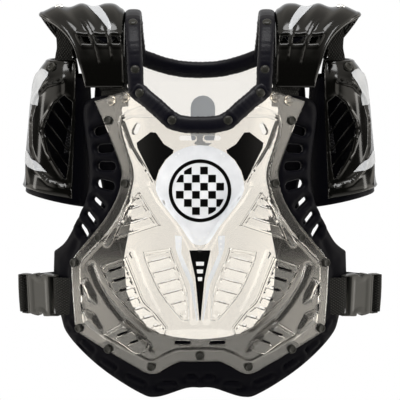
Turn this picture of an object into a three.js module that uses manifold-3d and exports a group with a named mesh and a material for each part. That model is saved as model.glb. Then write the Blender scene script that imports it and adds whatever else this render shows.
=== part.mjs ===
// A motocross roost deflector: a clear chest plate and a clear back plate on black foam liners, joined by padded
// neck rolls and straps, with moulded shoulder guards, hanging arm guards and buckled side straps.
// Millimetres, +Z up. X = 0 is the middle of the body, the chest faces -Y, and the origin is where the padded neck
// straps rest on the wearer's shoulders. The right half, +X, is drawn, and what comes in pairs is mirrored.

import * as THREE from "three";
import { mergeVertices } from "three/addons/utils/BufferGeometryUtils.js";
import Module from "manifold-3d";

const wasm = await Module();
wasm.setup();

// Gaps and facets
const GAP = 0.35; // running gap between pieces that touch
const FACET_X = 30; // lattice of the curved panels, across
const FACET_Z = 56; // lattice of the curved panels, up

// Chest side: how the panels wrap round the body
const CHEST_DEPTH = 124; // from the middle of the body to the chest plate's crest
const CHEST_CREST_DROP = 300; // the crest, below the shoulders
const CHEST_BOW = 265; // radius across the chest
const CHEST_SWELL = 790; // radius down the chest

// Back side
const BACK_DEPTH = 112;
const BACK_CREST_DROP = 200;
const BACK_BOW = 250;
const BACK_SWELL = 700;

// Chest plate
const PLATE_HALF_WIDTH = 170;
const PLATE_TOP_DROP = 87; // its upper edge, below the shoulders
const PLATE_HEIGHT = 373;
const PLATE_WALL = 2.5;
const VENT_RISE = 5.5; // how far the louvred vents stand proud
const LOUVRE_GAP = 2.6; // open slit under each louvre
const SLOT_WIDTH = 5; // strap and adjustment slots
const SLOT_LENGTH = 16;

// Back plate
const BACK_HALF_WIDTH = 142;
const BACK_TOP_DROP = 56;
const BACK_HEIGHT = 406;
const BACK_WALL = 2.5;

// Foam liners
const LINER_THICK = 10;
const LINER_HALF_WIDTH = 199;
const LINER_TOP_DROP = 94;
const LINER_HEIGHT = 401;
const WINDOW_LENGTH = 24; // ladder windows beside the armholes
const WINDOW_WIDTH = 12;
const BACK_LINER_HALF_WIDTH = 165;
const BACK_LINER_TOP_DROP = 62;
const BACK_LINER_HEIGHT = 426;
const GROOVE_DEPTH = 3; // moulded grooves along the liner's lower band
const GROOVE_WIDTH = 9;

// Padded neck roll and neck straps
const ROLL_WIDTH = 22;
const ROLL_THICK = 15;
const NECK_STRAP_WIDTH = 21;
const NECK_STRAP_THICK = 13;
const NECK_STRAP_X = 83; // where the strap leaves the plates
const NECK_STRAP_SPREAD = 5; // how much further out it crosses the shoulder
const NECK_STRAP_CREST = 7; // its middle line above the shoulders

// Rivets and snaps
const RIVET_RADIUS = 5.5;
const RIVET_RISE = 3;
const RIVET_SIDES = 8;

// Shoulder guards
const GUARD_INNER_X = 99;
const GUARD_WIDTH = 116; // across its crest
const GUARD_CREST = 17; // top, above the shoulders
const GUARD_HEIGHT = 104; // from the crest down to its feet
const GUARD_HALF_SPAN = 72; // front to back, from the middle
const GUARD_WALL = 3;
const GUARD_DROOP = 10; // how far the outer edge falls below the crest
const FLUTE_RISE = 4;
const PAD_THICK = 7;

// Arm guards
const ARM_X = 174; // middle of the arm
const ARM_Y = 14;
const ARM_TOP_DROP = 53;
const ARM_LENGTH = 190;
const ARM_REACH = 53; // from the middle of the arm out to the shell
const ARM_HALF_DEPTH = 58; // from the middle of the arm to the front of the shell
const ARM_WALL = 3;
const ARM_EDGE = 105; // degrees round from straight out where the shell ends
const ARM_LEAN = 0.05; // outward lean, per millimetre down
const ARM_HEM_SLANT = 0.1; // how much shorter the outer side is
const ARM_LINER_THICK = 6;
const ARM_LINER_EDGE = 121;
const ARM_LINER_SHOW = 9; // foam below the shell
const ARM_SLOT_WIDTH = 9.5;
const ARM_SLOT_TILT = 47; // degrees

// Webbing
const WEB_THICK = 1.6;
const CHEST_WEB_WIDTH = 38;
const CHEST_WEB_TUCK = 22; // length behind the plate and under the guard
const HANGER_WIDTH = 20;
const SIDE_WEB_WIDTH = 50;
const SIDE_WEB_DROP = 365;
const SIDE_WEB_TUCK = 32; // length behind the plates
const SIDE_WEB_LEAN = 9; // degrees that the buckle stands off the panel's slope
const BUCKLE_REST = 5; // how deep the buckle sinks into the foam
const SIDE_WEB_RUN = 24; // from the plate's edge to the buckle's first bar
const ELASTIC_WIDTH = 38;
const ELASTIC_THICK = 2;

// Side-release buckle
const BUCKLE_WIDTH = 57;
const BUCKLE_THICK = 12;
const BAR_HALF = 2; // half of a bar's square section
const SOCKET_WINDOW = 7; // from the bar to the body
const SOCKET_BODY = 33;
const INSERT_BASE = 3.5;
const INSERT_WINDOW = 9;
const PRONG_LENGTH = 20;
const BUCKLE_WALL = 2;

// Graphics
const DECAL_THICK = 0.5;
const DISC_RADIUS = 57;
const DISC_DROP = 215;
const LABEL_WIDTH = 35;
const LABEL_HEIGHT = 74;
const LABEL_DROP = 108;

// Outlines of one half. out is a share of the panel's half width, down one of its height from its top edge.
// A row marked corner starts a new smooth run.
const CHEST_OUTLINE = [
  { out: 0, down: 0.12 },
  { out: 0.1, down: 0.12 },
  { out: 0.21, down: 0.108 },
  { out: 0.32, down: 0.066 },
  { out: 0.498, down: 0, corner: true },
  { out: 0.814, down: 0.049, corner: true },
  { out: 0.691, down: 0.174 },
  { out: 0.609, down: 0.276 },
  { out: 0.605, down: 0.318 },
  { out: 0.628, down: 0.367 },
  { out: 0.682, down: 0.42 },
  { out: 0.773, down: 0.482 },
  { out: 0.973, down: 0.596 },
  { out: 1, down: 0.63, corner: true },
  { out: 1, down: 0.68, corner: true },
  { out: 0.976, down: 0.842, corner: true },
  { out: 0.942, down: 0.872, corner: true },
  { out: 0.525, down: 0.973 },
  { out: 0.409, down: 1 },
  { out: 0.331, down: 0.998 },
  { out: 0.231, down: 0.97 },
  { out: 0.154, down: 0.953, corner: true },
  { out: 0, down: 0.953 },
];
const CHEST_NECK_POINTS = 8; // points of the smoothed outline that the neck roll follows

const BACK_OUTLINE = [
  { out: 0, down: 0.04 },
  { out: 0.22, down: 0.038 },
  { out: 0.49, down: 0.012 },
  { out: 0.55, down: 0.003, corner: true },
  { out: 0.66, down: 0, corner: true },
  { out: 0.88, down: 0.05, corner: true },
  { out: 0.82, down: 0.16 },
  { out: 0.76, down: 0.34 },
  { out: 0.75, down: 0.46 },
  { out: 0.8, down: 0.56 },
  { out: 0.97, down: 0.67 },
  { out: 1, down: 0.72, corner: true },
  { out: 0.98, down: 0.88, corner: true },
  { out: 0.6, down: 0.97 },
  { out: 0.35, down: 1 },
  { out: 0, down: 0.985 },
];
const BACK_NECK_POINTS = 3;

const LINER_OUTER = [
  { out: 0.5, down: 0, corner: true },
  { out: 0.645, down: 0.006, corner: true },
  { out: 0.742, down: 0.02 },
  { out: 0.79, down: 0.064 },
  { out: 0.754, down: 0.203 },
  { out: 0.748, down: 0.284 },
  { out: 0.771, down: 0.35 },
  { out: 0.823, down: 0.411 },
  { out: 0.91, down: 0.491 },
  { out: 0.995, down: 0.53, corner: true },
  { out: 1, down: 0.6, corner: true },
  { out: 0.95, down: 0.749 },
  { out: 0.888, down: 0.817 },
  { out: 0.684, down: 0.907 },
  { out: 0.414, down: 0.987 },
  { out: 0.29, down: 1 },
  { out: 0.092, down: 0.967 },
  { out: 0, down: 0.965 },
];
const LINER_INNER = [
  { out: 0, down: 0.8 },
  { out: 0.196, down: 0.79 },
  { out: 0.34, down: 0.765 },
  { out: 0.44, down: 0.71 },
  { out: 0.5, down: 0.645, corner: true },
  { out: 0.512, down: 0.56 },
  { out: 0.54, down: 0.5 },
  { out: 0.565, down: 0.447 },
  { out: 0.51, down: 0.365 },
  { out: 0.464, down: 0.277 },
  { out: 0.478, down: 0.181 },
  { out: 0.5, down: 0.079 },
];
const BACK_LINER_OUTER = [
  { out: 0.56, down: 0, corner: true },
  { out: 0.74, down: 0.01, corner: true },
  { out: 0.86, down: 0.045 },
  { out: 0.89, down: 0.12 },
  { out: 0.885, down: 0.25 },
  { out: 0.87, down: 0.33 },
  { out: 0.83, down: 0.4 },
  { out: 0.84, down: 0.455 },
  { out: 0.9, down: 0.51 },
  { out: 0.98, down: 0.58, corner: true },
  { out: 1, down: 0.76, corner: true },
  { out: 0.9, down: 0.86 },
  { out: 0.64, down: 0.96 },
  { out: 0.36, down: 1 },
  { out: 0, down: 0.985 },
];
const BACK_LINER_INNER = [
  { out: 0, down: 0.9 },
  { out: 0.4, down: 0.89 },
  { out: 0.62, down: 0.82, corner: true },
  { out: 0.66, down: 0.66 },
  { out: 0.59, down: 0.5 },
  { out: 0.58, down: 0.42 },
  { out: 0.58, down: 0.26 },
  { out: 0.585, down: 0.1 },
];

// Ladder windows of the chest liner. out and down as the liner's; turn is degrees from level.
const WINDOWS = [
  { out: 0.661, down: 0.119, turn: -20 },
  { out: 0.636, down: 0.178, turn: -6 },
  { out: 0.627, down: 0.235, turn: 0 },
  { out: 0.633, down: 0.296, turn: 12 },
  { out: 0.678, down: 0.357, turn: 40 },
  { out: 0.731, down: 0.409, turn: 50 },
  { out: 0.779, down: 0.452, turn: 57 },
];

// Grooves along the liner's lower band. length is a share of the liner's half width.
const GROOVES = [
  { out: 0.06, down: 0.93, turn: 0, length: 0.1 },
  { out: 0.22, down: 0.955, turn: -8, length: 0.14 },
  { out: 0.43, down: 0.945, turn: 22, length: 0.16 },
  { out: 0.62, down: 0.895, turn: 28, length: 0.14 },
];

// Vents of the chest plate: the two sides of each raised panel, and how many louvres it has.
// out and down as the plate's; tilt is the louvres' slope in degrees.
const VENTS = [
  {
    inner: [
      { out: 0.221, down: 0.549 },
      { out: 0.16, down: 0.626 },
      { out: 0.095, down: 0.714 },
      { out: 0.08, down: 0.775 },
    ],
    outer: [
      { out: 0.13, down: 0.806 },
      { out: 0.306, down: 0.705 },
      { out: 0.4, down: 0.615 },
      { out: 0.432, down: 0.566 },
    ],
    louvres: 6,
    tilt: -16,
  },
  {
    inner: [
      { out: 0.559, down: 0.584 },
      { out: 0.475, down: 0.679 },
      { out: 0.345, down: 0.773 },
      { out: 0.245, down: 0.827 },
    ],
    outer: [
      { out: 0.265, down: 0.858 },
      { out: 0.438, down: 0.818 },
      { out: 0.65, down: 0.717 },
      { out: 0.76, down: 0.623 },
    ],
    louvres: 6,
    tilt: -18,
  },
  {
    inner: [
      { out: 0.585, down: 0.814 },
      { out: 0.484, down: 0.844 },
      { out: 0.376, down: 0.885 },
    ],
    outer: [
      { out: 0.408, down: 0.911 },
      { out: 0.602, down: 0.894 },
      { out: 0.735, down: 0.863 },
    ],
    louvres: 2,
    tilt: -20,
  },
  {
    inner: [
      { out: 0.462, down: 0.357 },
      { out: 0.305, down: 0.471 },
    ],
    outer: [
      { out: 0.664, down: 0.532 },
      { out: 0.6, down: 0.45 },
    ],
    louvres: 2,
    tilt: -16,
  },
];

// Slots of the chest plate. turn is degrees from level.
const SLOTS = [
  { out: 0.095, down: 0.168, turn: 0 },
  { out: 0.482, down: 0.14, turn: 112 },
  { out: 0.111, down: 0.882, turn: 0 },
  { out: 0.911, down: 0.713, turn: 90 },
  { out: 0.912, down: 0.78, turn: 90 },
];

// Rivets of one half of the chest plate, from the shoulder down, and the one in the middle
const RIVETS = [
  { out: 0.703, down: 0.114 },
  { out: 0.574, down: 0.33 },
  { out: 0.777, down: 0.523 },
  { out: 0.973, down: 0.619 },
  { out: 0.937, down: 0.854 },
  { out: 0.708, down: 0.92 },
  { out: 0.374, down: 0.975 },
];
const MIDDLE_RIVET = { out: 0, down: 0.931 };
const CORNER_RIVETS = [
  { out: 0.684, down: 0.045 },
  { out: 0.575, down: 0.033 },
];

// The shoulder guard's width along its arch: angle is degrees back from the crest, width a share of the crest's.
const GUARD_ARCH = [
  { angle: -90, width: 0.44 },
  { angle: -80, width: 0.478 },
  { angle: -70, width: 0.525 },
  { angle: -58, width: 0.583 },
  { angle: -48, width: 0.664 },
  { angle: -38, width: 0.767 },
  { angle: -28, width: 0.87 },
  { angle: -14, width: 0.97 },
  { angle: 0, width: 1 },
  { angle: 14, width: 0.99 },
  { angle: 30, width: 0.95 },
  { angle: 48, width: 0.85 },
  { angle: 65, width: 0.7 },
  { angle: 72, width: 0.62 },
];
// Flutes across the guard: across is a share of its width, rise a share of the flutes' height.
const FLUTES = [
  { across: 0, rise: 0 },
  { across: 0.12, rise: 0.75 },
  { across: 0.25, rise: 1 },
  { across: 0.37, rise: 0 },
  { across: 0.52, rise: 1 },
  { across: 0.64, rise: 0 },
  { across: 0.8, rise: 1 },
  { across: 0.9, rise: 0.5 },
  { across: 1, rise: 0 },
];
const FLUTE_END = 62; // degrees from the crest where the flutes have run out
const GUARD_SLOTS = [{ across: 0.17 }, { across: 0.43 }, { across: 0.73 }];
const GUARD_SLOT_ANGLE = 53;
const GUARD_SLOT_HEIGHT = 8;
const GUARD_SLOT_SHARE = 0.2; // of the guard's width there

// The arm guard's girth: down is a share of its length, reach and depth shares of its radii.
const ARM_SECTIONS = [
  { down: 0, reach: 0.54, depth: 0.6 },
  { down: 0.04, reach: 0.66, depth: 0.7 },
  { down: 0.11, reach: 0.8, depth: 0.83 },
  { down: 0.25, reach: 0.9, depth: 0.93 },
  { down: 0.5, reach: 0.96, depth: 0.98 },
  { down: 0.88, reach: 1, depth: 1 },
  { down: 1, reach: 1.04, depth: 1.03 },
];
// Slanted vents of the arm guard: down is a share of its length, out and length shares of its reach.
const ARM_SLOTS = [
  { down: 0.366, out: 0.02, length: 0.36 },
  { down: 0.454, out: 0.09, length: 0.6 },
  { down: 0.554, out: 0.165, length: 0.8 },
  { down: 0.65, out: 0.22, length: 0.82 },
  { down: 0.746, out: 0.27, length: 0.78 },
];
// Where the elastic crosses from the back edge of the arm guard to the front, as shares of its radii
const ELASTIC_ROUTE = [
  { out: -0.46, along: 0.95 },
  { out: -0.51, along: 0.72 },
  { out: -0.56, along: 0.46 },
  { out: -0.69, along: 0.1 },
  { out: -0.66, along: -0.4 },
  { out: -0.52, along: -0.62 },
];
const ELASTIC_DOWN = 0.58;

const DEGREE = Math.PI / 180;
const CUT_REACH = 300; // long enough to cut right through the object

// Curved panels

// A panel's form: how far it stands from the middle of the body, and which way it faces.
const chest = {
  facing: -1,
  depth: CHEST_DEPTH,
  crestZ: -CHEST_CREST_DROP,
  bow: CHEST_BOW,
  swell: CHEST_SWELL,
};
const back = {
  facing: 1,
  depth: BACK_DEPTH,
  crestZ: -BACK_CREST_DROP,
  bow: BACK_BOW,
  swell: BACK_SWELL,
};

const sag = (radius, along) => radius - Math.sqrt(radius ** 2 - along ** 2);
const slope = (radius, along) => along / Math.sqrt(radius ** 2 - along ** 2);

function panelNormal(form, x, z) {
  return new THREE.Vector3(slope(form.bow, x), form.facing, slope(form.swell, z - form.crestZ)).normalize();
}

// The point of a form at x, z, sunk below its outer face.
function panelPoint(form, x, z, sunk) {
  const stand = form.depth - sag(form.bow, x) - sag(form.swell, z - form.crestZ);
  return new THREE.Vector3(x, form.facing * stand, z).addScaledVector(panelNormal(form, x, z), -sunk);
}

// The facet of a form's outer face that holds x, z: the point there and the facet's normal.
function facetAt(form, x, z) {
  const [i, j] = [Math.floor(x / FACET_X), Math.floor(z / FACET_Z)];
  const corner = (di, dj) => panelPoint(form, (i + di) * FACET_X, (j + dj) * FACET_Z, 0);
  const middle = x / FACET_X - i >= z / FACET_Z - j ? corner(1, 0) : corner(0, 1);
  const normal = new THREE.Vector3().crossVectors(
    middle.clone().sub(corner(0, 0)),
    corner(1, 1).sub(corner(0, 0)),
  );
  normal.normalize().multiplyScalar(Math.sign(normal.y) * form.facing);
  const y = corner(0, 0).y - (normal.x * (x - i * FACET_X) + normal.z * (z - j * FACET_Z)) / normal.y;
  return { point: new THREE.Vector3(x, y, z), normal };
}

// How far below its curve the middle of a facet of a form can lie.
const slack = (form) => FACET_X ** 2 / (8 * form.bow) + FACET_Z ** 2 / (8 * form.swell);

// A smooth outline through a table's rows, in x and z, with a few points between the rows.
function smoothHalf(rows, halfWidth, topDrop, height, between = 1) {
  const place = (row) => new THREE.Vector2(row.out * halfWidth, -topDrop - row.down * height);
  const points = [place(rows[0])];
  let run = [points[0]];
  rows.slice(1).forEach((row, i) => {
    run.push(place(row));
    if (row.corner || i === rows.length - 2) {
      const curve = () => new THREE.SplineCurve(run).getPoints((run.length - 1) * between);
      points.push(...(run.length === 2 ? run : curve()).slice(1));
      run = [run[run.length - 1]];
    }
  });
  return points;
}

const mirrored = (points) => points.map((p) => new THREE.Vector2(-p.x, p.y)).reverse();
const onMiddle = (p) => Math.abs(p.x) < 1e-6;

// Both halves of an outline as one closed loop. Points on the middle line aren't doubled.
function wholeLoop(half) {
  return [...half, ...mirrored(half).filter((p) => !onMiddle(p))];
}

// A loop moved outwards by a distance, or inwards if it is negative.
function grown(loop, distance) {
  const turn = THREE.ShapeUtils.area(loop) > 0 ? 1 : -1;
  return loop.map((p, i) => {
    const before = loop[(i + loop.length - 1) % loop.length];
    const after = loop[(i + 1) % loop.length];
    const a = p.clone().sub(before).normalize();
    const b = after.clone().sub(p).normalize();
    const side = new THREE.Vector2(a.y + b.y, -a.x - b.x).normalize();
    const stretch = 1 / Math.max(0.6, side.dot(new THREE.Vector2(a.y, -a.x)));
    return p.clone().addScaledVector(side, distance * turn * stretch);
  });
}

// Solids

function solidOf(geometry) {
  const bare = new THREE.BufferGeometry();
  bare.setAttribute("position", geometry.getAttribute("position"));
  bare.setIndex(geometry.getIndex());
  const merged = mergeVertices(bare, 1e-3);
  const mesh = new wasm.Mesh({
    numProp: 3,
    vertProperties: new Float32Array(merged.attributes.position.array),
    triVerts: new Uint32Array(merged.index.array),
  });
  return new wasm.Manifold(mesh);
}

function geometryOf(solid) {
  const mesh = solid.getMesh();
  const positions = new Float32Array(mesh.numVert * 3);
  for (let i = 0; i < mesh.numVert; i++) {
    positions.set(mesh.vertProperties.subarray(i * mesh.numProp, i * mesh.numProp + 3), i * 3);
  }
  const geometry = new THREE.BufferGeometry();
  geometry.setAttribute("position", new THREE.BufferAttribute(positions, 3));
  geometry.setIndex(new THREE.BufferAttribute(new Uint32Array(mesh.triVerts), 1));
  geometry.computeVertexNormals();
  return geometry;
}

// A closed body from points and triangles, with its faces turned outwards.
function closedGeometry(points, triangles) {
  const volume = triangles.reduce((sum, [a, b, c]) => {
    return sum + points[a].dot(new THREE.Vector3().crossVectors(points[b], points[c]));
  }, 0);
  const turned = volume < 0 ? triangles.map(([a, b, c]) => [a, c, b]) : triangles;
  const geometry = new THREE.BufferGeometry().setFromPoints(points);
  geometry.setIndex(turned.flat());
  geometry.computeVertexNormals();
  return geometry;
}

// A wall between two grids of points with the same rows and columns.
function wall(face, rear) {
  const rows = face.length;
  const columns = face[0].length;
  const points = [...face.flat(), ...rear.flat()];
  const at = (side, i, j) => side * rows * columns + i * columns + j;
  const triangles = [];
  const quad = (a, b, c, d) => triangles.push([a, b, c], [a, c, d]);
  for (let i = 0; i + 1 < rows; i++) {
    for (let j = 0; j + 1 < columns; j++) {
      quad(at(0, i, j), at(0, i + 1, j), at(0, i + 1, j + 1), at(0, i, j + 1));
      quad(at(1, i, j), at(1, i, j + 1), at(1, i + 1, j + 1), at(1, i + 1, j));
    }
  }
  for (let i = 0; i + 1 < rows; i++) {
    quad(at(0, i, 0), at(1, i, 0), at(1, i + 1, 0), at(0, i + 1, 0));
    quad(at(0, i, columns - 1), at(0, i + 1, columns - 1), at(1, i + 1, columns - 1), at(1, i, columns - 1));
  }
  for (let j = 0; j + 1 < columns; j++) {
    quad(at(0, 0, j), at(0, 0, j + 1), at(1, 0, j + 1), at(1, 0, j));
    quad(at(0, rows - 1, j), at(1, rows - 1, j), at(1, rows - 1, j + 1), at(0, rows - 1, j + 1));
  }
  return closedGeometry(points, triangles);
}

// Unit normals of a grid of points.
function gridNormals(grid) {
  const clamp = (i, n) => Math.max(0, Math.min(n - 1, i));
  return grid.map((row, i) =>
    row.map((_, j) => {
      const down = grid[clamp(i + 1, grid.length)][j].clone().sub(grid[clamp(i - 1, grid.length)][j]);
      const across = row[clamp(j + 1, row.length)].clone().sub(row[clamp(j - 1, row.length)]);
      return new THREE.Vector3().crossVectors(down, across).normalize();
    }),
  );
}

// A flat strap of even thickness along a grid of middle points.
function strap(grid, thickness) {
  const normals = gridNormals(grid);
  const shifted = (by) =>
    grid.map((row, i) => row.map((p, j) => p.clone().addScaledVector(normals[i][j], by)));
  return wall(shifted(thickness / 2), shifted(-thickness / 2));
}

// A closed tube through rings of points, with flat ends.
function tube(rings) {
  const sides = rings[0].length;
  const points = rings.flat();
  const triangles = [];
  for (let i = 0; i + 1 < rings.length; i++) {
    for (let j = 0; j < sides; j++) {
      const k = (j + 1) % sides;
      const [a, b, c, d] = [i * sides + j, i * sides + k, (i + 1) * sides + k, (i + 1) * sides + j];
      triangles.push([a, b, c], [a, c, d]);
    }
  }
  const last = (rings.length - 1) * sides;
  for (let j = 1; j + 1 < sides; j++) {
    triangles.push([0, j + 1, j], [last, last + j, last + j + 1]);
  }
  return closedGeometry(points, triangles);
}

// A prism that cuts straight through along Y, from a loop and its holes in x and z.
function cutter(loop, holes = [], nearY = -CUT_REACH, farY = CUT_REACH) {
  const shape = new THREE.Shape(loop);
  shape.holes = holes.map((hole) => new THREE.Path(hole));
  const geometry = new THREE.ExtrudeGeometry(shape, { depth: farY - nearY, bevelEnabled: false });
  return solidOf(geometry.rotateX(Math.PI / 2).translate(0, farY, 0));
}

// The slab of a form between two depths, over a region in x and z. Every slab shares one lattice.
function slab(form, loop, fromDepth, toDepth) {
  const xs = loop.map((p) => p.x);
  const zs = loop.map((p) => p.y);
  const lines = (values, step) => {
    const first = Math.floor(Math.min(...values) / step - 0.7);
    const last = Math.ceil(Math.max(...values) / step + 0.7);
    return Array.from({ length: last - first + 1 }, (_, i) => (first + i) * step);
  };
  const xLines = lines(xs, FACET_X);
  const zLines = lines(zs, FACET_Z);
  const grid = (depth) => xLines.map((x) => zLines.map((z) => panelPoint(form, x, z, depth)));
  return solidOf(wall(grid(fromDepth), grid(toDepth)));
}

// A curved sheet with the outline of a loop, between two depths of a form.
function sheet(form, loop, fromDepth, toDepth, holes = []) {
  const [nearY, farY] = form.facing < 0 ? [-CUT_REACH, 0] : [0, CUT_REACH];
  return slab(form, loop, fromDepth, toDepth).intersect(cutter(loop, holes, nearY, farY));
}

// A loop in x and z from corners given along and across a turned slot.
function turnedLoop(x, z, turn, corners) {
  const c = Math.cos(turn * DEGREE);
  const s = Math.sin(turn * DEGREE);
  return corners.map(([u, v]) => new THREE.Vector2(x + u * c - v * s, z + u * s + v * c));
}

// A slot with square ends.
function slitLoop(x, z, length, width, turn) {
  const [u, v] = [length / 2, width / 2];
  return turnedLoop(x, z, turn, [
    [u, -v],
    [u, v],
    [-u, v],
    [-u, -v],
  ]);
}

// A slot with rounded ends.
function slotLoop(x, z, length, width, turn) {
  const [u, v] = [length / 2, width / 2];
  const round = Math.min(u, v) * 0.6;
  return turnedLoop(x, z, turn, [
    [u - round, -v],
    [u, -v + round],
    [u, v - round],
    [u - round, v],
    [-u + round, v],
    [-u, v - round],
    [-u, -v + round],
    [-u + round, -v],
  ]);
}

const material = (color, roughness, metalness = 0, extra = {}) =>
  new THREE.MeshStandardMaterial({ color, roughness, metalness, ...extra });
const CLEAR = material(0xe9e2d6, 0.08, 0, { transparent: true, opacity: 0.35 });
const FOAM = material(0x1b1b24, 0.85);
const PADDING = material(0x17171f, 0.8);
const GLOSS = material(0x0b0b0a, 0.12);
const WEBBING = material(0x23231f, 0.75);
const BUCKLE = material(0x35352f, 0.4);
const STUD = material(0x3b3b36, 0.35);
const WHITE = material(0xeceef2, 0.3);
const GREY = material(0xa9adb2, 0.4);

const object = new THREE.Group();
object.name = "roost_deflector";

function add(parent, name, shape, finish) {
  const geometry = shape.isBufferGeometry ? shape : geometryOf(shape);
  const mesh = new THREE.Mesh(geometry, finish);
  mesh.name = name;
  parent.add(mesh);
  return mesh;
}

// Adds a piece on the right and its mirror image on the left.
function addPair(name, shape, finish) {
  add(object, name + "_right", shape, finish);
  add(object, name + "_left", shape, finish).scale.x = -1;
}

const onPlate = (row) =>
  new THREE.Vector2(row.out * PLATE_HALF_WIDTH, -PLATE_TOP_DROP - row.down * PLATE_HEIGHT);
const onLiner = (row) =>
  new THREE.Vector2(row.out * LINER_HALF_WIDTH, -LINER_TOP_DROP - row.down * LINER_HEIGHT);
const flipped = (loop) => loop.map((p) => new THREE.Vector2(-p.x, p.y)).reverse();
const bothSides = (loops) => [...loops, ...loops.map(flipped)];

// Outlines that several pieces share
const chestHalf = smoothHalf(CHEST_OUTLINE, PLATE_HALF_WIDTH, PLATE_TOP_DROP, PLATE_HEIGHT, 2);
const backHalf = smoothHalf(BACK_OUTLINE, BACK_HALF_WIDTH, BACK_TOP_DROP, BACK_HEIGHT);
const chestLoop = wholeLoop(chestHalf);
const backLoop = wholeLoop(backHalf);

// The plate's edge on the right at a height: the furthest x of its outline there.
function edgeAt(loop, z) {
  let edge = 0;
  loop.forEach((p, i) => {
    const q = loop[(i + 1) % loop.length];
    if ((p.y - z) * (q.y - z) <= 0 && p.y !== q.y) {
      edge = Math.max(edge, p.x + ((q.x - p.x) * (z - p.y)) / (q.y - p.y));
    }
  });
  return edge;
}

// Chest plate

// A vent's loop from its two sides, and the slits that run across it.
function ventShape(vent) {
  const inner = vent.inner.map(onPlate);
  const outer = vent.outer.map(onPlate);
  const loop = [...inner, ...outer];
  const spine = new THREE.SplineCurve([
    inner[0].clone().lerp(outer[outer.length - 1], 0.5),
    inner[inner.length - 1].clone().lerp(outer[0], 0.5),
  ]);
  const slits = Array.from({ length: vent.louvres }, (_, i) => {
    const middle = spine.getPoint((i + 0.8) / (vent.louvres + 0.6));
    const span = crossing(grown(loop, -PLATE_WALL * 1.6), middle, vent.tilt);
    return slitLoop(span.x, span.z, span.length, LOUVRE_GAP, vent.tilt);
  });
  return { loop, slits };
}

// Where a tilted line through a point crosses a loop: the middle of the crossing and its length.
function crossing(loop, through, tilt) {
  const along = new THREE.Vector2(Math.cos(tilt * DEGREE), Math.sin(tilt * DEGREE));
  const off = (p) => (p.x - through.x) * along.y - (p.y - through.y) * along.x;
  const cuts = [];
  loop.forEach((p, i) => {
    const q = loop[(i + 1) % loop.length];
    const [a, b] = [off(p), off(q)];
    if (a * b < 0) {
      const hit = p.clone().lerp(q, a / (a - b));
      cuts.push(hit.sub(through).dot(along));
    }
  });
  const low = Math.min(...cuts);
  const high = Math.max(...cuts);
  const middle = through.clone().addScaledVector(along, (low + high) / 2);
  return { x: middle.x, z: middle.y, length: high - low };
}

const ventShapes = VENTS.map(ventShape);

function chestPlate() {
  let plate = sheet(chest, chestLoop, 0, PLATE_WALL);
  for (const loop of bothSides(ventShapes.map((vent) => vent.loop))) {
    plate = plate.add(sheet(chest, loop, -VENT_RISE, PLATE_WALL / 2));
    plate = plate.subtract(sheet(chest, grown(loop, -PLATE_WALL), PLATE_WALL - VENT_RISE, PLATE_WALL * 2));
  }
  const slits = ventShapes.flatMap((vent) => vent.slits);
  const slots = SLOTS.map((slot) => {
    const at = onPlate(slot);
    return slitLoop(at.x, at.y, SLOT_LENGTH, SLOT_WIDTH, slot.turn);
  });
  for (const loop of bothSides([...slits, ...slots])) {
    plate = plate.subtract(cutter(loop, [], -CUT_REACH, 0));
  }
  return plate;
}

// Rivets

const RIVET_PROFILE = [
  { share: 0, rise: 0 },
  { share: 1, rise: 0 },
  { share: 0.8, rise: 0.75 },
  { share: 0, rise: 1 },
];

// A domed rivet head that rests at a point and faces along an axis.
function rivet(at, axis) {
  const profile = RIVET_PROFILE.map(
    (row) => new THREE.Vector2(row.share * RIVET_RADIUS, row.rise * RIVET_RISE),
  );
  const turn = new THREE.Quaternion().setFromUnitVectors(new THREE.Vector3(0, 1, 0), axis);
  return new THREE.LatheGeometry(profile, RIVET_SIDES).applyQuaternion(turn).translate(at.x, at.y, at.z);
}

function plateRivet(row) {
  const at = onPlate(row);
  const { point, normal } = facetAt(chest, at.x, at.y);
  return rivet(point.addScaledVector(normal, GAP), normal);
}

// Foam liners

// A liner's U-shaped loop: down the outside of the right half, round the left, and back along the inside.
function linerLoop(outerRows, innerRows, halfWidth, topDrop, height) {
  const outer = smoothHalf(outerRows, halfWidth, topDrop, height);
  const inner = smoothHalf(innerRows, halfWidth, topDrop, height).filter((p) => !onMiddle(p));
  const innerMiddle = smoothHalf(innerRows, halfWidth, topDrop, height)[0];
  const around = [...outer, ...mirrored(outer).filter((p) => !onMiddle(p))];
  return [...around, ...mirrored(inner), innerMiddle, ...inner];
}

const linerFront = PLATE_WALL + GAP; // depth of the liner's face below the plate's
const chestLinerLoop = linerLoop(LINER_OUTER, LINER_INNER, LINER_HALF_WIDTH, LINER_TOP_DROP, LINER_HEIGHT);
const backLinerLoop = linerLoop(
  BACK_LINER_OUTER,
  BACK_LINER_INNER,
  BACK_LINER_HALF_WIDTH,
  BACK_LINER_TOP_DROP,
  BACK_LINER_HEIGHT,
);

// The space that webbing needs between a plate and its liner, as a loop in x and z.
const pocketLoop = (x0, x1, z0, z1) =>
  [
    [x0, z0],
    [x1, z0],
    [x1, z1],
    [x0, z1],
  ].map(([x, z]) => new THREE.Vector2(x, z));

const webDepth = (form, wallThick) => wallThick + GAP + slack(form) + WEB_THICK / 2;
const sideWebZ = [-SIDE_WEB_DROP - SIDE_WEB_WIDTH / 2, -SIDE_WEB_DROP + SIDE_WEB_WIDTH / 2];

function pockets(form, loop, wallThick, outX, webX, webZ) {
  const room = GAP * 6;
  const sideStart = edgeAt(loop, -SIDE_WEB_DROP) - SIDE_WEB_TUCK - room * 2;
  const side = pocketLoop(sideStart, outX, sideWebZ[0] - room, sideWebZ[1] + room);
  const top = pocketLoop(webX[0] - room, webX[1] + room, webZ - room, 0);
  const deep = webDepth(form, wallThick) + WEB_THICK / 2 + GAP;
  return bothSides([side, top]).map((area) => sheet(form, area, wallThick - 1, deep));
}

const POCKET_REACH = 1.03; // a pocket runs out past the foam's edge

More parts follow.
